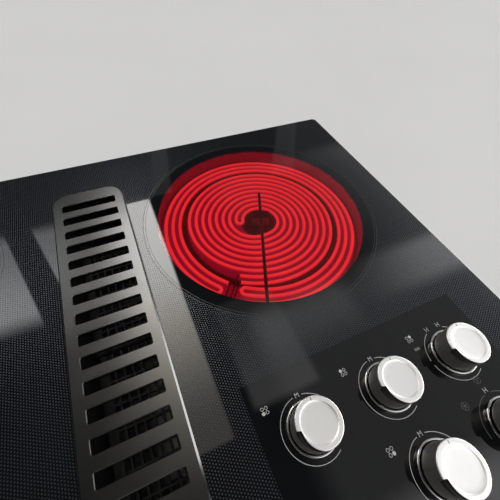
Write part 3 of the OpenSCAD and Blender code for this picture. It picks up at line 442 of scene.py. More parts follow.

# %% [markdown]
# ## Metals, fibre, plastic and rubber
#
# The visible metals differ mostly in how they were worked. The grille is dark and satin with
# bright cut edges, the dials have a fine silk on top and are brushed down the side, the
# sheet-metal box is galvanised, and the blower's motor is painted. The glowing wire is an emission
# with painted shade: it is weaker between the ribs, so that each rib reads as a brighter line between
# darker ones, and it fades toward the wire's foot. The fibre bed does not glow by itself: painted
# light from the wire lies on it as a weak emission under the lanes, in two rings, with a fainter
# spill beyond the outer one.

# %% Metal finishes
SILK = (1.0, 0.99, 0.97)


def grille_satin():
    made, tree, shader = new_finish("grille_satin", grey(0.1), 0.3, 1.0)
    place = object_place(tree)
    cloud = noise(tree, place, 22.0, 3.0)
    tint(tree, shader, cloud, grey(0.095), grey(0.115))
    fill(tree, shader.inputs["Roughness"], remap(tree, cloud, 0.3, 0.7, 0.22, 0.25))
    return made


def silky_top():
    made, tree, shader = new_finish("dial_polish", grey(0.82), 0.1, 1.0)
    marks = marks_mask(tree, 0.012, 0.0012)
    fill(tree, shader.inputs["Roughness"], scaled(tree, marks, 0.05, 0.36))
    tint(tree, shader, marks, grey(0.96, SILK), grey(0.9, SILK))
    return made


def chrome():
    made, tree, shader = new_finish("chrome", grey(0.72), 0.06, 1.0)
    fill(tree, shader.inputs["Roughness"], scaled(tree, marks_mask(tree, 0.01, 0.001), 0.12, 0.05))
    return made


print("metal finishes ready")

# %% Finishes of the heaters
WIRE_Z = box_centre("right_rear_outer_winding").z
# Painted shade: the wire's glow fades toward its foot between these heights.
WIRE_FOOT_SHADE_HEIGHTS = (WIRE_Z - 0.5 * MM, WIRE_Z + 2.4 * MM)
WIRE_GLOW = 2.4
WIRE_PAINTED_SHADE = (0.30, 0.03, 0.05, 1.0)
WIRE_BRIGHT = (1.0, 0.55, 0.50, 1.0)
# Painted light: the light the hot wire throws on its fibre bed is painted on as a weak emission under the
# lanes, with a faint spill beyond the outer lane.
FIBRE_PAINTED_LIGHT_STRENGTH = 0.4
FIBRE_PAINTED_LIGHT_TINT = (1.0, 0.06, 0.7, 1.0)
PAINTED_LIGHT_ZONES = ((24 * MM, 99 * MM), (104 * MM, 131 * MM))
PAINTED_LIGHT_EASE = 4 * MM
PAINTED_SPILL_REACH = 147 * MM


def rib_share(tree):
    return add_node(tree, "ShaderNodeAttribute", attribute_name="rib").outputs["Fac"]


def glowing_wire():
    made, tree, shader = new_finish("glowing_wire", (0.25, 0.03, 0.02, 1.0), 0.7)
    height = add_node(tree, "ShaderNodeSeparateXYZ", {"Vector": object_place(tree)}).outputs[2]
    # Painted shade: the glow is weaker at the wire's foot and between its ribs, where the wire would be in
    # shade.
    clear_of_foot_shade = remap(tree, height, *WIRE_FOOT_SHADE_HEIGHTS, 0.0, 1.0)
    heat = noise(tree, object_place(tree), 28.0, 2.0)
    light = product(tree, scaled(tree, rib_share(tree), 0.55, 0.45), scaled(tree, clear_of_foot_shade, 0.8, 0.2),
                    scaled(tree, heat, 0.5, 0.75))
    tint(tree, shader, light, WIRE_PAINTED_SHADE, WIRE_BRIGHT, "Emission Color")
    shader.inputs["Emission Strength"].default_value = WIRE_GLOW
    return made


def fibre_with_painted_light():
    """The fibre bed of the hot heater, with painted light from its wire: weak under the lanes, fainter
    beyond.
    """
    made, tree, shader = new_finish("fibre_with_painted_light", (0.32, 0.27, 0.22, 1.0), 0.95)
    place = object_place(tree)
    middle = (*box_centre("right_rear_insulation").xy, 0.0)
    radius = calc_vector(tree, "DISTANCE", from_above(tree, place), middle)
    painted_light = 0.0
    for inner, outer in PAINTED_LIGHT_ZONES:
        rise = remap(tree, radius, inner, inner + PAINTED_LIGHT_EASE, 0.0, 1.0)
        fall = remap(tree, radius, outer - PAINTED_LIGHT_EASE, outer, 1.0, 0.0)
        painted_light = calc(tree, "MULTIPLY_ADD", rise, fall, painted_light)
    wall = PAINTED_LIGHT_ZONES[-1][1]
    painted_spill = product(tree, calc(tree, "GREATER_THAN", radius, wall),
                   remap(tree, radius, wall, PAINTED_SPILL_REACH, 0.4, 0.1))
    painted_light = product(tree, calc(tree, "ADD", painted_light, painted_spill),
                   scaled(tree, noise(tree, place, 60.0, 3.0), 0.6, 0.7))
    tint(tree, shader, painted_light, grey(0.0), FIBRE_PAINTED_LIGHT_TINT, "Emission Color")
    shader.inputs["Emission Strength"].default_value = FIBRE_PAINTED_LIGHT_STRENGTH
    return made


def cold_wire():
    made, tree, shader = new_finish("cold_wire", (0.16, 0.13, 0.12, 1.0), 0.55, 0.6)
    # Painted shade: the wire is darker between its ribs, where shade would fall.
    tint(tree, shader, rib_share(tree), (0.05, 0.04, 0.04, 1.0), (0.2, 0.16, 0.14, 1.0))
    return made


print("heater finishes ready, wire at", round(WIRE_Z, 4))

# %% [markdown]
# The frame names a material slot for each node, so the finishes stand in one table under those
# names. A streak direction is a squeeze along one axis. The four finishes after the table are for
# one node or a part of a piece: the fibre under the hot wire with painted light from it, the
# scoop of a dial in painted shade and the side of a dial, and the cut edges of the vent.

# %% Finish of every slot
ALONG_X = (0.03, 1.0, 1.0)
ALONG_Y = (1.0, 0.03, 1.0)
ALONG_Z = (1.0, 1.0, 0.03)
finishes = {
    "glass": glass_black,
    "seal_foam": moulded("seal_foam", grey(0.02), 0.9, 1800.0, 0.0002),
    "galvanised_steel": sheet_steel("galvanised_steel", grey(0.55, (1.0, 1.01, 1.03)), grey(0.36),
                                    0.011, 0.42),
    "pan_steel": sheet_steel("pan_steel", grey(0.62, (1.0, 1.0, 0.98)), grey(0.5), 0.03, 0.36),
    "insulation": moulded("insulation", (0.62, 0.55, 0.46, 1.0), 0.95, 700.0, 0.0004, 0.2),
    "hot_winding": glowing_wire(),
    "cold_winding": cold_wire(),
    "limiter_ceramic": moulded("limiter_ceramic", (0.42, 0.38, 0.32, 1.0), 0.6, 500.0, 0.0001),
    "grille_metal": grille_satin(),
    "rubber": moulded("rubber", grey(0.025), 0.75, 1500.0, 0.0001),
    # Painted shade: the filter and the wire steel seen through the vent's slots are coloured near black, so
    # that the slots read as dark as shade makes them.
    "filter_aluminium": drawn_metal("filter_aluminium", grey(0.006), 0.6, ALONG_Y, 500.0, 0.3, 0.0),
    "wire_steel": drawn_metal("wire_steel", grey(0.015), 0.5, ALONG_X, 900.0),
    "throat_paint": moulded("throat_paint", grey(0.01), 0.5, 1200.0, 0.0001),
    "wheel_steel": drawn_metal("wheel_steel", grey(0.4), 0.4, ALONG_X, 400.0),
    "motor_paint": moulded("motor_paint", grey(0.035, (1.0, 1.05, 1.1)), 0.45, 900.0, 0.0001),
    "trim_chrome": chrome(),
    "knob_chrome": silky_top(),
    "shaft_brass": drawn_metal("shaft_brass", (0.62, 0.42, 0.16, 1.0), 0.3, ALONG_Z, 900.0),
    "switch_plastic": moulded("switch_plastic", (0.62, 0.59, 0.53, 1.0), 0.45, 1000.0, 0.0001),
}
# The fibre of the hot heater, with painted light from its wire.
painted_lit_fibre = fibre_with_painted_light()
# Painted shade: the wall of a dial's scoop is coloured near black.
dial_scoop_painted_shade = moulded("dial_scoop_painted_shade", grey(0.008), 0.35, 900.0, 0.00005)
grille_edge = drawn_metal("grille_edge", grey(0.85), 0.12, ALONG_Z, 1200.0, 0.1)
brushed_skirt = drawn_metal("dial_skirt", grey(0.45, (1.0, 0.96, 0.9)), 0.5, ALONG_Z, 900.0, 0.8, 0.85)
print(len(finishes), "finishes for the frame's material slots")

# %% [markdown]
# ## Dress the frame's own solids
#
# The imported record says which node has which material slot, so one loop gives each solid its
# finish. The shapes that show most are replaced further down, and the rest keep these.

# %% Finish of every solid
slot_of_node = {part["node"]: part["material_slot"] for part in frame["record"]["subparts"]}
for node_name, solid in frame["nodes"].items():
    # The hot heater's fibre takes the finish with painted light from its wire instead of its slot's finish.
    finish = finishes[slot_of_node[node_name]] if node_name != "right_rear_insulation" else painted_lit_fibre
    for material_slot in solid.material_slots:
        material_slot.material = finish
print("dressed", len(slot_of_node), "of", len(frame["nodes"]), "solids")

# %% [markdown]
# ## Outlines and closed solids
#
# Most pieces of a cooktop are outlines that are given a depth: rings, plates and rounded
# rectangles. A stack of outlines, each with its own height, is bridged wall by wall, and a rounded
# edge is just a few more outlines near it. Faces are wound so that they point outwards, which
# keeps the solids closed and right side out.

# %% Piece and shading helpers
def new_piece(name, mesh, body, replaced=()):
    piece = bpy.data.objects.new(name, mesh)
    scene.collection.objects.link(piece)
    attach(piece, body)
    if replaced:
        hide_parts(*replaced)
    return piece


LEVEL = 0.99995


def shade_smooth(mesh):
    for polygon in mesh.polygons:
        polygon.use_smooth = True


def shade_rounds(bm, angle):
    """Smooth shading over the rounds, and flat shading on level faces, which keeps mirrors true."""
    limit = math.radians(angle)
    bm.normal_update()
    for face in bm.faces:
        face.smooth = abs(face.normal.z) < LEVEL
    for edge in bm.edges:
        edge.smooth = len(edge.link_faces) == 2 and edge.calc_face_angle(0.0) < limit


def mesh_from(bm, name, smooth_angle=None):
    bmesh.ops.recalc_face_normals(bm, faces=bm.faces)
    if smooth_angle is not None:
        shade_rounds(bm, smooth_angle)
    mesh = bpy.data.meshes.new(name)
    bm.to_mesh(mesh)
    bm.free()
    return mesh


print("piece helpers ready")

# %% Outline helpers
def ease(share):
    """A share from 0 to 1 that starts and stops softly."""
    return share * share * (3 - 2 * share)


def polar(radius, angle):
    return Vector((radius * math.cos(math.radians(angle)), radius * math.sin(math.radians(angle))))


def rounded_rectangle(width, depth, radius, steps=10):
    points = []
    for corner, (sx, sy) in enumerate(((1, 1), (-1, 1), (-1, -1), (1, -1))):
        for k in range(steps + 1):
            angle = math.pi / 2 * (corner + k / steps)
            points.append((sx * (width / 2 - radius) + radius * math.cos(angle),
                           sy * (depth / 2 - radius) + radius * math.sin(angle)))
    return points


def circle(radius, centre, steps):
    return [(centre[0] + radius * math.cos(math.tau * k / steps),
             centre[1] + radius * math.sin(math.tau * k / steps)) for k in range(steps)]


def add_loop(bm, points, z):
    verts = [bm.verts.new((x, y, z)) for x, y in points]
    for k, vert in enumerate(verts):
        bm.edges.new((vert, verts[(k + 1) % len(verts)]))
    return verts


def loop_edges(bm, verts):
    return [bm.edges.get((vert, verts[(k + 1) % len(verts)])) for k, vert in enumerate(verts)]


def bridge(bm, first, second, index=0):
    for k in range(len(first)):
        after = (k + 1) % len(first)
        face = bm.faces.new((first[k], first[after], second[after], second[k]))
        face.material_index = index


def fill_between(bm, loops):
    edges = [edge for verts in loops for edge in loop_edges(bm, verts)]
    bmesh.ops.triangle_fill(bm, use_beauty=True, use_dissolve=False, edges=edges)


def stack(bm, outlines, index=0):
    """Bridges outlines given as (points, z) from the lowest to the highest and returns their loops."""
    loops = [add_loop(bm, points, z) for points, z in outlines]
    for lower, upper in zip(loops, loops[1:]):
        bridge(bm, lower, upper, index)
    return loops


print("outline helpers ready")

# %% [markdown]
# ## The pane
#
# The pane is 4 mm thick and its edge is ground to a small round, which catches a thin line of
# light along the back and the side. It is built from ten outlines, five for the lower round and
# five for the upper, the same around the vent opening, and plain holes under the dials. A ring of
# edges at the heater's window splits the face, so that the window can have its own material on
# the same piece.

# %% Glass top
heater = box_centre("right_rear_insulation").xy
RING_WALL = 10 * MM
window_r = box_size("right_rear_insulation").x / 2 - RING_WALL
grille_w, grille_l, grille_t = box_size("vent_grille")
GRILLE_CORNER = 20 * MM
VENT_LAP = 7 * MM
GLASS_CORNER = 7 * MM
GLASS_GRIND = 0.9 * MM
VENT_GRIND = 0.5 * MM
DIAL_HOLE = 5.7 * MM


def edge_steps(grind, count=4):
    """(inset, height) pairs for the outlines of a ground edge, from the bottom to the top."""
    low = [(grind * (1 - math.sin(a)), grind * (1 - math.cos(a)))
           for a in [math.pi / 2 * k / count for k in range(count + 1)]]
    return low + [(inset, glass_t - height) for inset, height in reversed(low)]


def make_pane():
    bm = bmesh.new()
    rims = []
    for width, depth, corner, sign, grind in (
            (glass_w, glass_d, GLASS_CORNER, 1, GLASS_GRIND),
            (grille_w - 2 * VENT_LAP, grille_l - 2 * VENT_LAP, GRILLE_CORNER - VENT_LAP, -1, VENT_GRIND)):
        outlines = []
        for inset, height in edge_steps(grind):
            cut = sign * inset
            outlines.append((rounded_rectangle(width - 2 * cut, depth - 2 * cut, corner - cut),
                             z_top - glass_t + height))
        rims.append(stack(bm, outlines))
    for place in dial_places:
        hole = circle(DIAL_HOLE, place, 48)
        rims.append(stack(bm, [(hole, z_top - glass_t), (hole, z_top)]))
    window = circle(window_r, heater, 192)
    for end in (0, -1):
        disc = add_loop(bm, window, rims[0][end][0].co.z)
        fill_between(bm, [rim[end] for rim in rims] + [disc])
        bm.faces.new(disc).material_index = 1
    mesh = mesh_from(bm, "glass_pane", 40)
    mesh.materials.append(glass_black)
    mesh.materials.append(glass_window)
    return new_piece("glass_pane", mesh, "root", replaced=["glass_top"])


pane = make_pane()
print("pane:", len(pane.data.polygons), "faces, window radius", round(window_r, 4))

# %% [markdown]
# ## Heating windings
#
# A radiant heater is a thin ribbed wire laid in lanes on a bed of pressed fibre. The right rear
# heater has two: an outer strand that runs round three times with a hairpin at each end, and an
# inner strand that spirals in, turns round in a hairpin and spirals out again. The left heaters
# have one spiral each and the bridge heater has straight lanes. The paths follow the frame's own
# rule, and a lane of a spiral steps inwards over a part of each turn only, so that the rest of it
# stays round.

# %% Paths of the windings
LANE_PITCH = 8.9 * MM
STRAND_R = 2.35 * MM
STRAND_END = 5 * MM
PATH_STEP = 3
PIN_STEPS = 8
RUN_STEPS = 12
SWAP_FROM = 142
SWAP_LENGTH = 141


def lane_radius(first, angle):
    turns = (angle - SWAP_FROM) / 360
    whole = math.floor(turns)
    share = min(1.0, (turns - whole) * 360 / SWAP_LENGTH)
    return first - 2 * LANE_PITCH * (whole + ease(share))


def lane(radius_at, start, stop):
    count = math.ceil(abs(stop - start) / PATH_STEP)
    angles = [start + (stop - start) * k / count for k in range(count + 1)]
    return [polar(radius_at(angle), angle) for angle in angles]


def hairpin(outer, angle, way, inwards):
    points = []
    for k in range(1, PIN_STEPS):
        turn = math.radians(180 * k / PIN_STEPS - 90)
        side = math.sin(-turn if inwards else turn)
        along = Vector((-math.sin(math.radians(angle)), math.cos(math.radians(angle))))
        middle = polar(outer - LANE_PITCH / 2 + side * LANE_PITCH / 2, angle)
        points.append(middle + way * math.cos(turn) * LANE_PITCH / 2 * along)
    return points


def with_ends(points):
    first = points[0] + STRAND_END * (points[0] - points[1]).normalized()
    last = points[-1] + STRAND_END * (points[-1] - points[-2]).normalized()
    return [first] + points + [last]


def outer_strand(outer):
    start, back, stop = -121, -124, 221
    middle = outer - LANE_PITCH
    inner = outer - 2 * LANE_PITCH
    return with_ends(lane(lambda a: outer, start, stop) + hairpin(outer, stop, 1, True)
                     + lane(lambda a: middle, stop, back) + hairpin(middle, back, -1, True)
                     + lane(lambda a: inner, back, stop + 1))


def spiral_strand(first, turns):
    start, back, turn_at = -125, -127, 160
    last = turn_at + 360 * turns
    pin = lane_radius(first, last - 360) - LANE_PITCH
    return with_ends(lane(lambda a: lane_radius(first, a), start, last)
                     + hairpin(pin, turn_at, 1, False)
                     + lane(lambda a: lane_radius(first - LANE_PITCH, a), last - 360, back))


def straight_strand(run, lanes=4):
    points = []
    for k in range(lanes):
        way = 1 if k % 2 == 0 else -1
        y = (k - (lanes - 1) / 2) * LANE_PITCH
        points += [Vector((way * run * (q / RUN_STEPS - 0.5), y)) for q in range(RUN_STEPS + 1)]
        if k < lanes - 1:
            for q in range(1, PIN_STEPS):
                turn = math.radians(180 * q / PIN_STEPS - 90)
                points.append(Vector((way * (run / 2 + math.cos(turn) * LANE_PITCH / 2),
                                      y + LANE_PITCH / 2 * (1 + math.sin(turn)))))
    return with_ends(points)


print("lanes lie", round(LANE_PITCH, 4), "apart, the wire is", round(2 * STRAND_R, 4), "thick")

# %% [markdown]
# Drawing every rib by hand would take thousands of points, and a bump would vanish from the side.
# A node tree does the repeating work instead: it cuts the path into short steps, swells every
# second step into a rib, and stores which steps are ribs for the painted shade between ribs. Every
# shape tree here ends the same way, with its copies made real and given a finish, so a helper adds those two
# nodes.

# %% Shape tree helpers
def finish_tree(tree, start, end, geometry):
    real = add_node(tree, "GeometryNodeRealizeInstances", {"Geometry": geometry})
    done = add_node(tree, "GeometryNodeSetMaterial",
                    {"Geometry": real.outputs[0], "Material": start["Finish"]})
    fill(tree, end["Geometry"], done.outputs[0])


def upwards(tree, height):
    return add_node(tree, "ShaderNodeCombineXYZ", {"Z": height}).outputs[0]


def filleted(tree, width, height, radius, count):
    box = add_node(tree, "GeometryNodeCurvePrimitiveQuadrilateral", {"Width": width, "Height": height})
    return add_node(tree, "GeometryNodeFilletCurve",
                    {"Curve": box.outputs[0], "Count": count, "Radius": radius}, mode="POLY").outputs[0]


def moved_by(tree, geometry, shift):
    return add_node(tree, "GeometryNodeTransform", {"Geometry": geometry, "Translation": shift}).outputs[0]


def run_tree(name, tree, values, source=None):
    """Evaluates a node tree on a helper object and returns the result as a plain mesh."""
    helper = bpy.data.objects.new(name + "_helper", source or bpy.data.meshes.new(name))
    scene.collection.objects.link(helper)
    modifier = helper.modifiers.new("shape", "NODES")
    modifier.node_group = tree
    for item in tree.interface.items_tree:
        if item.in_out == "INPUT" and item.name in values:
            modifier[item.identifier] = values[item.name]
    evaluated = helper.evaluated_get(bpy.context.evaluated_depsgraph_get())
    mesh = bpy.data.meshes.new_from_object(evaluated)
    mesh.name = name
    bpy.data.objects.remove(helper)
    return mesh


print("shape tree helpers ready")

# %% Node tree of a ribbed strand
def strand_tree():
    inputs = [("Geometry", GEOMETRY, None), ("Strand Radius", FLOAT, STRAND_R),
              ("Rib Pitch", FLOAT, 1.2 * MM), ("Rib Depth", FLOAT, 0.16), ("Finish", MATERIAL, None)]
    tree, start, end = new_group("ribbed_strand", "GeometryNodeTree", inputs, [("Geometry", GEOMETRY)])
    half = product(tree, start["Rib Pitch"], 0.5)
    cut = add_node(tree, "GeometryNodeResampleCurve", {"Curve": start["Geometry"]}, mode="LENGTH")
    fill(tree, cut.inputs["Length"], half)
    index = add_node(tree, "GeometryNodeInputIndex").outputs[0]
    rib = calc(tree, "MODULO", index, 2.0)
    store = add_node(tree, "GeometryNodeStoreNamedAttribute",
                     {"Geometry": cut.outputs[0], "Name": "rib", "Value": rib},
                     data_type="FLOAT", domain="POINT")
    swell = scaled(tree, rib, start["Rib Depth"], opposite(tree, start["Rib Depth"]))
    radius = product(tree, swell, start["Strand Radius"])
    sized = add_node(tree, "GeometryNodeSetCurveRadius", {"Curve": store.outputs[0], "Radius": radius})
    ring = add_node(tree, "GeometryNodeCurvePrimitiveCircle", {"Resolution": 8, "Radius": 1.0}, mode="RADIUS")
    tube = add_node(tree, "GeometryNodeCurveToMesh",
                    {"Curve": sized.outputs[0], "Profile Curve": ring.outputs[0], "Fill Caps": True})
    if "Scale" in tube.inputs:
        fill(tree, tube.inputs["Scale"], radius)
    finish_tree(tree, start, end, tube.outputs[0])
    return tree


def path_curve(points, centre, z):
    curve = bpy.data.curves.new("path", "CURVE")
    curve.dimensions = "3D"
    spline = curve.splines.new("POLY")
    spline.points.add(len(points) - 1)
    for point, place in zip(spline.points, points):
        point.co = (centre.x + place.x, centre.y + place.y, z, 1.0)
    return curve


ribbed_strand = strand_tree()
print("strand tree:", len(ribbed_strand.nodes), "nodes")

# %% Windings of all heaters
OUTER_LANE_GAP = 7.8 * MM
WINDING_GAP = 11.2 * MM
LEFT_LANE_GAP = 8 * MM
BRIDGE_MARGIN = 25 * MM
right_outer = window_r - OUTER_LANE_GAP
right_inner = right_outer - 2 * LANE_PITCH - WINDING_GAP
left_first = box_size("left_rear_insulation").x / 2 - RING_WALL - LEFT_LANE_GAP
bridge_run = box_size("bridge_insulation").x - 2 * BRIDGE_MARGIN
strands = {
    "right_rear_outer_winding": (outer_strand(right_outer), heater, "hot_winding"),
    "right_rear_inner_winding": (spiral_strand(right_inner, 4), heater, "hot_winding"),
    "left_rear_winding": (spiral_strand(left_first, 3), box_centre("left_rear_insulation"), "cold_winding"),
    "left_front_winding": (spiral_strand(left_first, 3), box_centre("left_front_insulation"), "cold_winding"),
    "bridge_winding": (straight_strand(bridge_run), box_centre("bridge_insulation"), "cold_winding"),
}
for node_name, (points, centre, slot_name) in strands.items():
    mesh = run_tree(node_name + "_wire", ribbed_strand, {"Finish": finishes[slot_name]},
                    path_curve(points, centre, WIRE_Z))
    shade_smooth(mesh)
    wire = new_piece(node_name + "_wire", mesh, "root", replaced=[node_name])
    print(wire.name, len(mesh.polygons), "faces")

# %% [markdown]
# ## Vent grille
#
# The grille is a long plate with round corners and seventeen slots, so its shape is a rule and a
# node tree suits it: one outline, one slot repeated along a line, the two filled into a face and
# the face pulled up into a plate.

# %% Node tree of the grille
def grille_tree():
    inputs = [("Width", FLOAT, 80 * MM), ("Length", FLOAT, 400 * MM), ("Corner", FLOAT, 20 * MM),
              ("Thickness", FLOAT, 4 * MM), ("Slot Count", "NodeSocketInt", 17),
              ("Slot Pitch", FLOAT, 22.5 * MM), ("Slot Width", FLOAT, 11 * MM),
              ("Slot Length", FLOAT, 62 * MM), ("Slot Corner", FLOAT, 1.2 * MM),
              ("Height", FLOAT, 7 * MM), ("Finish", MATERIAL, None)]
    tree, start, end = new_group("slotted_plate", "GeometryNodeTree", inputs, [("Geometry", GEOMETRY)])
    outer = filleted(tree, start["Width"], start["Length"], start["Corner"], 16)
    slot = filleted(tree, start["Slot Length"], start["Slot Width"], start["Slot Corner"], 4)
    steps = calc(tree, "SUBTRACT", start["Slot Count"], 1.0)
    first_y = product(tree, steps, start["Slot Pitch"], -0.5)
    first = add_node(tree, "ShaderNodeCombineXYZ", {"Y": first_y}).outputs[0]
    step = add_node(tree, "ShaderNodeCombineXYZ", {"Y": start["Slot Pitch"]}).outputs[0]
    row = add_node(tree, "GeometryNodeMeshLine",
                   {"Count": start["Slot Count"], "Start Location": first, "Offset": step}, mode="OFFSET")
    slots = add_node(tree, "GeometryNodeInstanceOnPoints", {"Points": row.outputs[0], "Instance": slot})
    real = add_node(tree, "GeometryNodeRealizeInstances", {"Geometry": slots.outputs[0]})
    joined = add_node(tree, "GeometryNodeJoinGeometry")
    tree.links.new(outer, joined.inputs[0])
    tree.links.new(real.outputs[0], joined.inputs[0])
    face = add_node(tree, "GeometryNodeFillCurve", {"Curve": joined.outputs[0]}, mode="TRIANGLES")
    pulled = add_node(tree, "GeometryNodeExtrudeMesh",
                      {"Mesh": face.outputs[0], "Offset": upwards(tree, start["Thickness"]),
                       "Individual": False}, mode="FACES")
    under = add_node(tree, "GeometryNodeFlipFaces", {"Mesh": face.outputs[0]})
    both = add_node(tree, "GeometryNodeJoinGeometry")
    tree.links.new(pulled.outputs[0], both.inputs[0])
    tree.links.new(under.outputs[0], both.inputs[0])
    merged = add_node(tree, "GeometryNodeMergeByDistance",
                      {"Geometry": both.outputs[0], "Distance": 0.01 * MM})
    finish_tree(tree, start, end, moved_by(tree, merged.outputs[0], upwards(tree, start["Height"])))
    return tree


grille_mesh = run_tree("vent_grille_plate", grille_tree(), {
    "Width": grille_w, "Length": grille_l, "Corner": GRILLE_CORNER,
    "Thickness": grille_t, "Height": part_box("vent_grille")[0].z,
    "Finish": finishes["grille_metal"]})
print("plain plate:", len(grille_mesh.polygons), "faces")

# %% [markdown]
# The real plate has its rim and its slots cut with a small slope, which draws the bright lines
# that make a metal plate look thick. The rim has the wider slope, so it is cut first and the other
# edges after it. Walls and slopes get a brighter finish than the face.

# %% Cut edges of the grille
RIM_CUT = 1.6 * MM
SLOT_CUT = 0.6 * MM
RIM_REACH = 0.1 * MM
SHARP_ANGLE = 60
ROUND_ANGLE = 30
WALL_TILT = 0.97


def cut_edges(mesh, width, chosen):
    """Cuts a slope on the sharp edges whose middle is chosen, and shades the mesh."""
    bm = bmesh.new()
    bm.from_mesh(mesh)
    bmesh.ops.remove_doubles(bm, verts=bm.verts, dist=0.005 * MM)
    bmesh.ops.recalc_face_normals(bm, faces=bm.faces)
    limit = math.radians(SHARP_ANGLE)
    sharp = [e for e in bm.edges if len(e.link_faces) == 2 and e.calc_face_angle(0.0) > limit
             and chosen((e.verts[0].co + e.verts[1].co) / 2)]
    bmesh.ops.bevel(bm, geom=sharp, offset=width, segments=1, profile=0.5, affect="EDGES",
                    clamp_overlap=True, material=-1)
    shade_rounds(bm, ROUND_ANGLE)
    bm.to_mesh(mesh)
    bm.free()


def on_the_rim(spot):
    from_side = grille_w / 2 - abs(spot.x - grille_middle.x)
    from_end = grille_l / 2 - abs(spot.y - grille_middle.y)
    at_corner = from_side < GRILLE_CORNER and from_end < GRILLE_CORNER
    return at_corner or min(from_side, from_end) < RIM_REACH


grille_middle = box_centre("vent_grille")
cut_edges(grille_mesh, RIM_CUT, on_the_rim)
cut_edges(grille_mesh, SLOT_CUT, lambda spot: True)
grille_mesh.materials.append(grille_edge)
for polygon in grille_mesh.polygons:
    if abs(polygon.normal.z) < WALL_TILT:
        polygon.material_index = 1
grille = new_piece("vent_grille_plate", grille_mesh, "grille", replaced=["vent_grille"])
print(grille.name, "has", len(grille_mesh.polygons), "faces")

# %% [markdown]
# ## Dials
#
# A dial is a turned metal cap. Its side is brushed and dark, and its top is silky, with a rim
# round a shallow dish. A finger scoop is cut into its front left. It is built as columns of one
# profile around the axis. The scoop's own axis lies to one side of the dial's, so the scoop is
# deep at one end and fades out at the other, and each column's profile follows the cut at its own
# distance. At the deep end a few columns ease from the full profile to the cut one.

# %% Dial shape
DIAL_R = 19 * MM
DIAL_TOP = 26 * MM
DIAL_FOOT = 4.3 * MM
DIAL_EDGE = 0.8 * MM
DIAL_WALL = 2.5 * MM
DIAL_RECESS = 3 * MM
FOOT_CUT = 0.4 * MM
EDGE_EASE = 0.5 * MM
DISH_R = 14.8 * MM
DISH_DEPTH = 0.4 * MM
DISH_EASE = 0.8 * MM
BOWL_DEPTH = 0.25 * MM
SCOOP_R = 6 * MM
SCOOP_OUT = DIAL_R + 4.4 * MM
SCOOP_SLIDE = 3 * MM
SCOOP_Z = DIAL_TOP - 0.2 * MM
SCOOP_TURN = 218
SCOOP_HALF = 40
SCOOP_EASE = 5
FOOT_STEPS = 5
CUT_STEPS = 12
ROUND_STEPS = 5
DISH_STEPS = 4
COLUMN_STEP = 3


def cut_reach(offset):
    """How far from the dial's axis the scoop's section has its centre, at an angle from its middle."""
    turn = math.radians(offset)
    return SCOOP_SLIDE * math.sin(turn) + math.sqrt(SCOOP_OUT ** 2 - (SCOOP_SLIDE * math.cos(turn)) ** 2)


def dial_profile(reach):
    """(radius, height) from the recess under the dial to its middle; a far reach leaves it uncut."""
    depth = DIAL_R - (reach - SCOOP_R)
    edge = DIAL_EDGE - EDGE_EASE * min(1.0, max(0.0, depth) / MM)
    shoulder = DIAL_TOP - edge
    points = [(0.0, DIAL_FOOT + DIAL_RECESS), (DIAL_R - DIAL_WALL, DIAL_FOOT + DIAL_RECESS),
              (DIAL_R - DIAL_WALL, DIAL_FOOT), (DIAL_R - FOOT_CUT, DIAL_FOOT), (DIAL_R, DIAL_FOOT + FOOT_CUT)]
    if depth > 0:
        across = DIAL_R - reach
        first = math.atan2(-math.sqrt(SCOOP_R ** 2 - across ** 2), across) % math.tau
        last = math.pi - math.asin((shoulder - SCOOP_Z) / SCOOP_R)
        turns = [first + (last - first) * k / CUT_STEPS for k in range(CUT_STEPS + 1)]
        points += [(reach + SCOOP_R * math.cos(t), SCOOP_Z + SCOOP_R * math.sin(t)) for t in turns]
    else:
        low = SCOOP_Z - EDGE_EASE
        points += [(DIAL_R, low + (shoulder - low) * k / CUT_STEPS) for k in range(CUT_STEPS + 1)]
    outer = points[-1][0]
    for k in range(1, ROUND_STEPS + 1):
        turn = math.pi / 2 * k / ROUND_STEPS
        points.append((outer - edge * (1 - math.cos(turn)), shoulder + edge * math.sin(turn)))
    for k in range(DISH_STEPS + 1):
        share = k / DISH_STEPS
        points.append((DISH_R + DISH_EASE * (1 - 2 * share), DIAL_TOP - DISH_DEPTH * ease(share)))
    for k in range(1, ROUND_STEPS + 1):
        radius = (DISH_R - DISH_EASE) * (1 - k / ROUND_STEPS)
        bowl = BOWL_DEPTH * (1 - (radius / DISH_R) ** 2)
        points.append((radius, DIAL_TOP - DISH_DEPTH - bowl))
    return points


def dial_columns():
    """(angle, profile) all round: every third degree, and every degree where the scoop begins."""
    uncut = dial_profile(SCOOP_OUT + SCOOP_R)
    begin = -SCOOP_HALF - SCOOP_EASE / 2
    offsets = [begin + k for k in range(SCOOP_EASE + 1)]
    rest = int((360 - SCOOP_EASE) / COLUMN_STEP)
    offsets += [offsets[-1] + COLUMN_STEP * (k + 1) for k in range(rest)]
    columns = []
    for offset in offsets:
        share = ease(min(1.0, max(0.0, (offset - begin) / SCOOP_EASE))) if offset < SCOOP_HALF else 0.0
        cut = dial_profile(cut_reach(offset))
        mixed = [(a[0] + (b[0] - a[0]) * share, a[1] + (b[1] - a[1]) * share) for a, b in zip(uncut, cut)]
        columns.append((offset + SCOOP_TURN, mixed))
    return columns


print("a dial has", len(dial_columns()), "columns of", len(dial_profile(SCOOP_OUT)), "points")

# %% [markdown]
# The columns are joined into one closed skin. Its faces take their finish from where they lie:
# the brushed side, the silky top from the rim inwards, and the wall of the scoop, which is every
# face of the side that lies well inside the dial's radius and is coloured near black as painted
# shade. A short dark inlay on the rim shows the dial's setting.

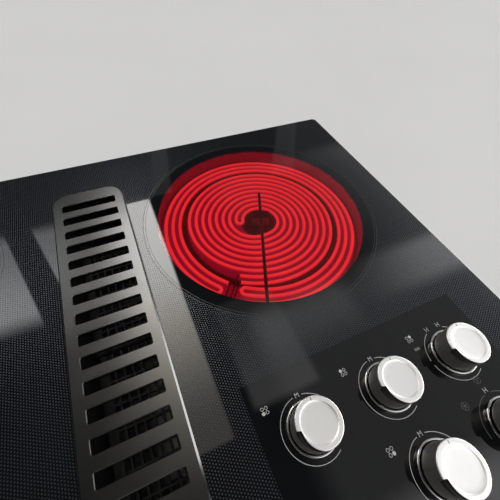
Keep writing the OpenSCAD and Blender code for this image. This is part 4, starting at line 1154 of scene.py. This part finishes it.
# %% Dials
SIDE, TOP, MARK, SCOOP_SHADE = 0, 1, 2, 3
SCOOP_SHADE_REACH = 0.05 * MM
POINTER_TURN = 82
POINTER_FROM = 15.6 * MM
POINTER_TO = 18 * MM
POINTER_HALF = 0.28 * MM
POINTER_SUNK = 0.2 * MM
POINTER_PROUD = 0.03 * MM


def make_dial(name, place):
    bm = bmesh.new()
    rows = []
    middles = {}
    for angle, profile in dial_columns():
        direction = polar(1.0, angle)
        row = []
        for index, (radius, height) in enumerate(profile):
            if radius < 1e-9:
                if index not in middles:
                    middles[index] = bm.verts.new((*place.xy, z_top + height))
                row.append(middles[index])
            else:
                row.append(bm.verts.new((*(place.xy + direction * radius), z_top + height)))
        rows.append(row)
    for here, after in zip(rows, rows[1:] + rows[:1]):
        for index in range(len(here) - 1):
            corners = list(dict.fromkeys([here[index], after[index], after[index + 1], here[index + 1]]))
            face = bm.faces.new(corners)
            cut = min(math.hypot(*(v.co.xy - place.xy)) for v in corners) < DIAL_R - SCOOP_SHADE_REACH
            # Faces of the scoop's wall take the near-black painted shade.
            side = SCOOP_SHADE if cut and index >= FOOT_STEPS else SIDE
            face.material_index = TOP if index >= FOOT_STEPS + CUT_STEPS else side
    add_pointer(bm, place)
    mesh = mesh_from(bm, name, 32)
    for finish in (brushed_skirt, finishes["knob_chrome"], finishes["rubber"], dial_scoop_painted_shade):
        mesh.materials.append(finish)
    return mesh


def add_pointer(bm, place):
    """A short dark inlay on the rim, at the back of the dial."""
    direction = polar(1.0, POINTER_TURN)
    across = Vector((-direction.y, direction.x))
    corners = [(POINTER_FROM, -POINTER_HALF), (POINTER_TO, -POINTER_HALF),
               (POINTER_TO, POINTER_HALF), (POINTER_FROM, POINTER_HALF)]
    outline = [tuple(place.xy + direction * reach + across * aside) for reach, aside in corners]
    level = z_top + DIAL_TOP
    for loop in stack(bm, [(outline, level - POINTER_SUNK), (outline, level + POINTER_PROUD)], MARK):
        bm.faces.new(loop).material_index = MARK


for dial, place in zip(DIALS, dial_places):
    mesh = make_dial("dial_" + dial, place)
    body = dial + "_knob" if dial != "fan" else "fan_control"
    piece = new_piece("dial_" + dial, mesh, body, replaced=["knob_" + dial])
    print(piece.name, "rides on", body, "with", len(mesh.polygons), "faces")

# %% [markdown]
# Each dial stands in a polished ring that covers the hole in the glass. The five rings are the
# same, so a node tree turns one profile into a ring and puts a copy at each dial's place.

# %% Trim rings
def ring_tree():
    inputs = [("Geometry", GEOMETRY, None), ("Inner Radius", FLOAT, 19.6 * MM),
              ("Outer Radius", FLOAT, 21.6 * MM), ("Height", FLOAT, 3 * MM), ("Rounding", FLOAT, 0.7 * MM),
              ("Finish", MATERIAL, None)]
    tree, start, end = new_group("trim_rings", "GeometryNodeTree", inputs, [("Geometry", GEOMETRY)])
    middle = product(tree, calc(tree, "ADD", start["Inner Radius"], start["Outer Radius"]), 0.5)
    wall = calc(tree, "SUBTRACT", start["Outer Radius"], start["Inner Radius"])
    path = add_node(tree, "GeometryNodeCurvePrimitiveCircle",
                    {"Resolution": 128, "Radius": middle}, mode="RADIUS")
    section = filleted(tree, wall, start["Height"], start["Rounding"], 5)
    ring = add_node(tree, "GeometryNodeCurveToMesh", {"Curve": path.outputs[0], "Profile Curve": section})
    half = upwards(tree, product(tree, start["Height"], 0.5))
    rings = add_node(tree, "GeometryNodeInstanceOnPoints",
                     {"Points": start["Geometry"], "Instance": moved_by(tree, ring.outputs[0], half)})
    finish_tree(tree, start, end, rings.outputs[0])
    return tree


ring_places = bpy.data.meshes.new("ring_places")
ring_places.from_pydata([(place.x, place.y, z_top) for place in dial_places], [], [])
rings = run_tree("dial_trim_rings", ring_tree(), {"Finish": finishes["trim_chrome"]}, ring_places)
shade_smooth(rings)
trims = new_piece("dial_trim_rings", rings, "root", replaced=["knob_trims"])
print(trims.name, "has", len(rings.polygons), "faces")

# %% [markdown]
# ## Printed marks
#
# The dials have thin printed arcs, plain letters for the middle and high settings, and small
# pictures of the heaters, and rings are printed round the three round heaters. The marks are real
# raised shapes, a few hundredths of a millimetre high, because a shape keeps its edge from near
# and far, and the letters are drawn as strokes. The name that such a panel would carry is left out.

# %% Inks and printed shapes
PRINT_T = 0.04 * MM
STROKE = 0.5 * MM
LETTER_HALF = 1.9 * MM
LETTER_WIDTH = 0.8
HEATER_PITCH = 3.6 * MM
HEATER_DOT = 1.5 * MM
HEATER_RING = (1.25 * MM, 0.38 * MM)
FAN_RING = (3.3 * MM, 0.32 * MM)
BLADE_LENGTH = 2.2 * MM
BLADE_TURN = 20
MARK_SPACING = 1.5 * MM
MARK_START = 2.6 * MM
MARK_HALF = 0.9 * MM
WHITE, GREY, DARK = 0, 1, 2


def speckled_ink(name, tone, light, dark, roughness):
    made, tree, shader = new_finish(name, grey(tone), roughness)
    spots = noise(tree, object_place(tree), 3000.0, 2.0)
    tint(tree, shader, spots, grey(dark), grey(light))
    return made


inks = [speckled_ink("print_white", 0.5, 0.55, 0.38, 0.5),
        speckled_ink("print_grey", 0.09, 0.11, 0.06, 0.45),
        speckled_ink("print_dark", 0.03, 0.035, 0.02, 0.3)]


def add_band(bm, centre, radius, width, start, stop, index=WHITE):
    """A flat printed band along an arc, as a thin closed solid; a full turn closes on itself."""
    whole = stop - start >= 360
    count = max(8, math.ceil((stop - start) / 3))
    corners = []
    for k in range(count if whole else count + 1):
        direction = polar(1.0, start + (stop - start) * k / count)
        corners.append([bm.verts.new((*(centre + direction * reach), z_top + lift))
                        for reach, lift in ((radius - width / 2, 0.0), (radius + width / 2, 0.0),
                                            (radius + width / 2, PRINT_T), (radius - width / 2, PRINT_T))])
    for k in range(len(corners) if whole else len(corners) - 1):
        here, after = corners[k], corners[(k + 1) % len(corners)]
        for side in range(4):
            face = bm.faces.new((here[side], here[(side + 1) % 4], after[(side + 1) % 4], after[side]))
            face.material_index = index
    if not whole:
        for end in (corners[0], corners[-1]):
            bm.faces.new(end).material_index = index


def add_flat(bm, points, index):
    lower, upper = stack(bm, [(points, z_top), (points, z_top + PRINT_T)], index)
    bm.faces.new(lower).material_index = index
    bm.faces.new(upper).material_index = index


def add_stroke(bm, start, stop, index=WHITE):
    along = (stop - start).normalized() * (STROKE / 2)
    side = Vector((-along.y, along.x))
    ends = [start - along - side, stop + along - side, stop + along + side, start - along + side]
    add_flat(bm, [tuple(p) for p in ends], index)


LETTERS = {
    "M": [((-1, -1), (-1, 1)), ((-1, 1), (0, -0.2)), ((0, -0.2), (1, 1)), ((1, 1), (1, -1))],
    "H": [((-1, -1), (-1, 1)), ((1, -1), (1, 1)), ((-1, 0), (1, 0))],
}


def add_letter(bm, letter, centre, angle, radius):
    place = centre + polar(radius, angle)
    for ends in LETTERS[letter]:
        start, stop = [place + Vector((x * LETTER_WIDTH, y)) * LETTER_HALF for x, y in ends]
        add_stroke(bm, start, stop)


def add_heater_picture(bm, place, filled):
    """Four small rings in a square, one of them filled, for the four heaters of a hob."""
    for k, (x, y) in enumerate(((-0.5, -0.5), (-0.5, 0.5), (0.5, 0.5), (0.5, -0.5))):
        spot = place + Vector((x, y)) * HEATER_PITCH
        if k == filled:
            add_flat(bm, circle(HEATER_DOT, spot, 24), WHITE)
        else:
            add_band(bm, spot, *HEATER_RING, 0, 360)


def add_fan_picture(bm, place, blades):
    add_band(bm, place, *FAN_RING, 0, 360, GREY)
    for k in range(blades):
        add_stroke(bm, place, place + polar(BLADE_LENGTH, 360 * k / blades + BLADE_TURN), GREY)


def add_small_marks(bm, place, count):
    for k in range(count):
        x = k * MARK_SPACING - MARK_START
        add_stroke(bm, place + Vector((x, -MARK_HALF)), place + Vector((x, MARK_HALF)))


print("inks:", [ink.name for ink in inks])

# %% [markdown]
# One table says what is printed round each dial: the ink and the spans of its arcs, which leave
# room for the letters, then its letters and its pictures with the angle and the reach of each. The
# three plain heater dials are alike, the one for the large heater has two settings, and the fan's
# arcs and pictures are grey. Each round heater has two thin rings, almost as dark as the glass.

# %% Printed marks
ARC_R = 26.2 * MM
ARC_W = 0.5 * MM
RING_GAPS = (-1.7 * MM, 1.3 * MM)


def plain_marks(filled):
    return (WHITE, ((-20, 80), (99, 300)), [("M", 89.5, 26.8 * MM)],
            [(add_heater_picture, 139, 40.5 * MM, filled)])


PRINTS = {
    "left_front": plain_marks(0),
    "left_rear": plain_marks(1),
    "right_rear": (WHITE, ((113, 176), (186, 300), (-20, 66)),
                   [("H", 75, 28.6 * MM), ("H", 105, 28.6 * MM)],
                   [(add_heater_picture, 139, 41 * MM, 2), (add_small_marks, 152, 34.2 * MM, 4)]),
    "bridge": plain_marks(3),
    "fan": (GREY, ((98, 182), (-20, 80)), [("H", 89, 28.8 * MM)],
            [(add_fan_picture, 89, 38.3 * MM, 3), (add_fan_picture, 136, 38.1 * MM, 5)]),
}


def make_prints():
    bm = bmesh.new()
    for dial, centre in zip(DIALS, dial_places):
        ink, spans, letters, pictures = PRINTS[dial]
        for start, stop in spans:
            add_band(bm, centre, ARC_R, ARC_W, start, stop, ink)
        for letter, angle, reach in letters:
            add_letter(bm, letter, centre, angle, reach)
        for draw, angle, reach, choice in pictures:
            draw(bm, centre + polar(reach, angle), choice)
    for centre, radius in RINGS:
        for gap in RING_GAPS:
            add_band(bm, centre, radius + gap, ARC_W, 0, 360, DARK)
    mesh = mesh_from(bm, "printed_marks")
    for ink in inks:
        mesh.materials.append(ink)
    return new_piece("printed_marks", mesh, "root")


prints = make_prints()
print("printed marks:", len(prints.data.polygons), "faces")

# %% [markdown]
# ## Floor, light and background
#
# The set is plain: a pale floor at the lowest point of the part and soft light from a few sides.
# Black glass shows nothing but what it mirrors, so the lights are placed by their reflections. The
# one behind makes the silvery band beside the vent, and those at the right whiten the tops of the
# dials without being mirrored in the panel between them.

# %% Floor
FLOOR_HALF = 9.0


def make_floor():
    mesh = bpy.data.meshes.new("floor")
    signs = ((-1, -1), (1, -1), (1, 1), (-1, 1))
    mesh.from_pydata([(x * FLOOR_HALF, y * FLOOR_HALF, floor_z) for x, y in signs], [], [(0, 1, 2, 3)])
    made, tree, shader = new_finish("floor", grey(0.62, (1.0, 1.0, 0.99)), 0.8)
    cloud = noise(tree, object_place(tree), 1.4, 3.0)
    tint(tree, shader, cloud, grey(0.60), grey(0.64))
    mesh.materials.append(made)
    piece = bpy.data.objects.new("floor", mesh)
    scene.collection.objects.link(piece)
    return piece


floor = make_floor()
print(floor.name, "at", round(floor_z, 4))

# %% [markdown]
# The light comes from the world: an even pale studio with soft rectangular cards in its ceiling. A
# card's place is a slope, across or toward the back for each metre up, so its edges stay straight
# in the glass. Lamps would do as well, but their edges are harder to fade. A dark post crosses the
# card at the back left. The even part is darker for what is mirrored or seen through glass, as the
# dark half of a studio is, and paler toward the horizon and for the background. A low light at the
# right, close to the horizon, draws the bright line along the cut edges of the vent. It is there
# for mirrored rays only, so it leaves the floor and the plain surfaces alone. The near part of the
# card behind is a little warm.

# %% Cards of light
# Each card has its lean, its reach across and toward the back, the width of its soft edge, the
# slope along which its light changes, and that slope and light at both ends.
ACROSS, BACK = 0, 1
CARDS = {
    "behind": (0.0, (-0.11, 0.055), (0.10, 1.13), 0.012, BACK, (0.14, 0.8), (0.8, 9.4)),
    "back left": (0.0, (-0.75, -0.30), (0.68, 1.10), 0.09, BACK, (0.72, 1.05), (4.2, 2.0)),
    "right": (0.0, (0.62, 2.60), (-1.40, 0.42), 0.12, ACROSS, (1.05, 1.6), (0.36, 2.2)),
    "right near": (0.0, (0.24, 0.62), (-0.60, 0.42), 0.10, BACK, (0.20, 0.34), (0.32, 0.85)),
    "near right": (0.0, (0.05, 2.60), (-1.60, -0.22), 0.12, ACROSS, (0.6, 1.0), (1.5, 0.2)),
    "right back": (0.0, (0.62, 2.60), (0.29, 0.47), 0.08, ACROSS, (0.66, 1.1), (0.08, 1.7)),
    "right far": (0.0, (0.36, 2.60), (0.42, 1.20), 0.12, ACROSS, (0.7, 1.6), (0.08, 0.9)),
    "high right": (0.0, (0.14, 0.36), (0.14, 0.50), 0.03, BACK, (0.14, 0.5), (0.6, 0.2)),
    "far post": (0.6, (0.01, 0.14), (1.08, 1.70), 0.03, BACK, (1.1, 1.3), (0.12, 0.19)),
    "far wall": (0.6, (0.12, 0.90), (1.08, 1.70), 0.08, BACK, (1.1, 1.3), (0.05, 0.09)),
    "thin post": (0.2, (-0.15, -0.065), (1.14, 1.62), 0.02, BACK, (0.9, 1.7), (0.2, 0.2)),
}
WARM = (1.0, 0.94, 0.80, 1.0)
POST_LEAN = 0.274
POST = (-0.22, -0.122)
POST_SOFT = 0.01


def between(tree, value, low, high, soft):
    rise = remap(tree, value, low - soft / 2, low + soft / 2, 0.0, 1.0)
    fall = remap(tree, value, high - soft / 2, high + soft / 2, 1.0, 0.0)
    return product(tree, rise, fall)


def card_light(tree, slopes):
    cards = 0.0
    for lean, across, back, soft, axis, span, lights in CARDS.values():
        leaning = scaled(tree, slopes[BACK], -lean, slopes[ACROSS])
        shape = product(tree, between(tree, leaning, *across, soft),
                        between(tree, slopes[BACK], *back, soft))
        cards = scaled(tree, shape, remap(tree, slopes[axis], *span, *lights), cards)
    leaning = scaled(tree, slopes[BACK], POST_LEAN, slopes[ACROSS])
    return product(tree, cards, opposite(tree, between(tree, leaning, *POST, POST_SOFT)))


print(len(CARDS), "cards of light")

# %% World
EVEN_LIGHT = 0.5
HORIZON = 0.8
DARK_HALF = 0.05
DARK_FROM, DARK_TO = 3.0, 14.0
LEAST_RISE = 0.001
LOW_RIGHT = 7.0
LOW_RIGHT_HEIGHTS = (-4.0, 12.0)
LOW_RIGHT_SOFT = 3.0
LOW_RIGHT_ACROSS = (0.5, 0.8)
LOW_RIGHT_BACK = (0.40, 0.48)
WARM_SOFT = 0.02
WARM_BACK = (0.4, 0.8)
WARM_FAR = 0.2


def make_world():
    world = bpy.data.worlds.new("studio")
    world.use_nodes = True
    scene.world = world
    tree = world.node_tree
    background = tree.nodes["Background"].inputs
    direction = add_node(tree, "ShaderNodeTexCoord").outputs["Generated"]
    along = add_node(tree, "ShaderNodeSeparateXYZ", {"Vector": direction}).outputs
    up = calc(tree, "MAXIMUM", along[2], LEAST_RISE)
    slopes = [calc(tree, "DIVIDE", along[axis], up) for axis in (ACROSS, BACK)]
    height = product(tree, calc(tree, "ARCSINE", along[2]), 180 / math.pi)
    rays = add_node(tree, "ShaderNodeLightPath").outputs
    mirrored = calc(tree, "MAXIMUM", rays["Is Glossy Ray"], rays["Is Transmission Ray"])
    beyond_camera = opposite(tree, rays["Is Camera Ray"])
    dark_half = remap(tree, height, DARK_FROM, DARK_TO, HORIZON, DARK_HALF)
    even = calc(tree, "ADD", product(tree, mirrored, dark_half),
                product(tree, opposite(tree, mirrored), EVEN_LIGHT))
    low_right = product(tree, between(tree, height, *LOW_RIGHT_HEIGHTS, LOW_RIGHT_SOFT),
                        remap(tree, along[BACK], *LOW_RIGHT_BACK, LOW_RIGHT, 0.0), mirrored,
                        remap(tree, along[ACROSS], *LOW_RIGHT_ACROSS, 0.0, 1.0))
    lit = calc(tree, "ADD", calc(tree, "ADD", even, card_light(tree, slopes)), low_right)
    seen = product(tree, rays["Is Camera Ray"], HORIZON)
    fill(tree, background["Strength"], calc(tree, "ADD", seen, product(tree, beyond_camera, lit)))
    warm = product(tree, between(tree, slopes[ACROSS], *CARDS["behind"][1], WARM_SOFT),
                   remap(tree, slopes[BACK], *WARM_BACK, 1.0, WARM_FAR), beyond_camera)
    fill(tree, background["Color"], mix_colour(tree, warm, grey(1.0), WARM))


make_world()
print("world:", scene.world.name, "with", len(scene.world.node_tree.nodes), "nodes")

# %% [markdown]
# ## Size of the frame
#
# The dressed part has to stay inside the frame's own box, so that box is written down.

# %% The frame's box
print("cad", [round(v, 4) for v in (*cad_low, *cad_high)])
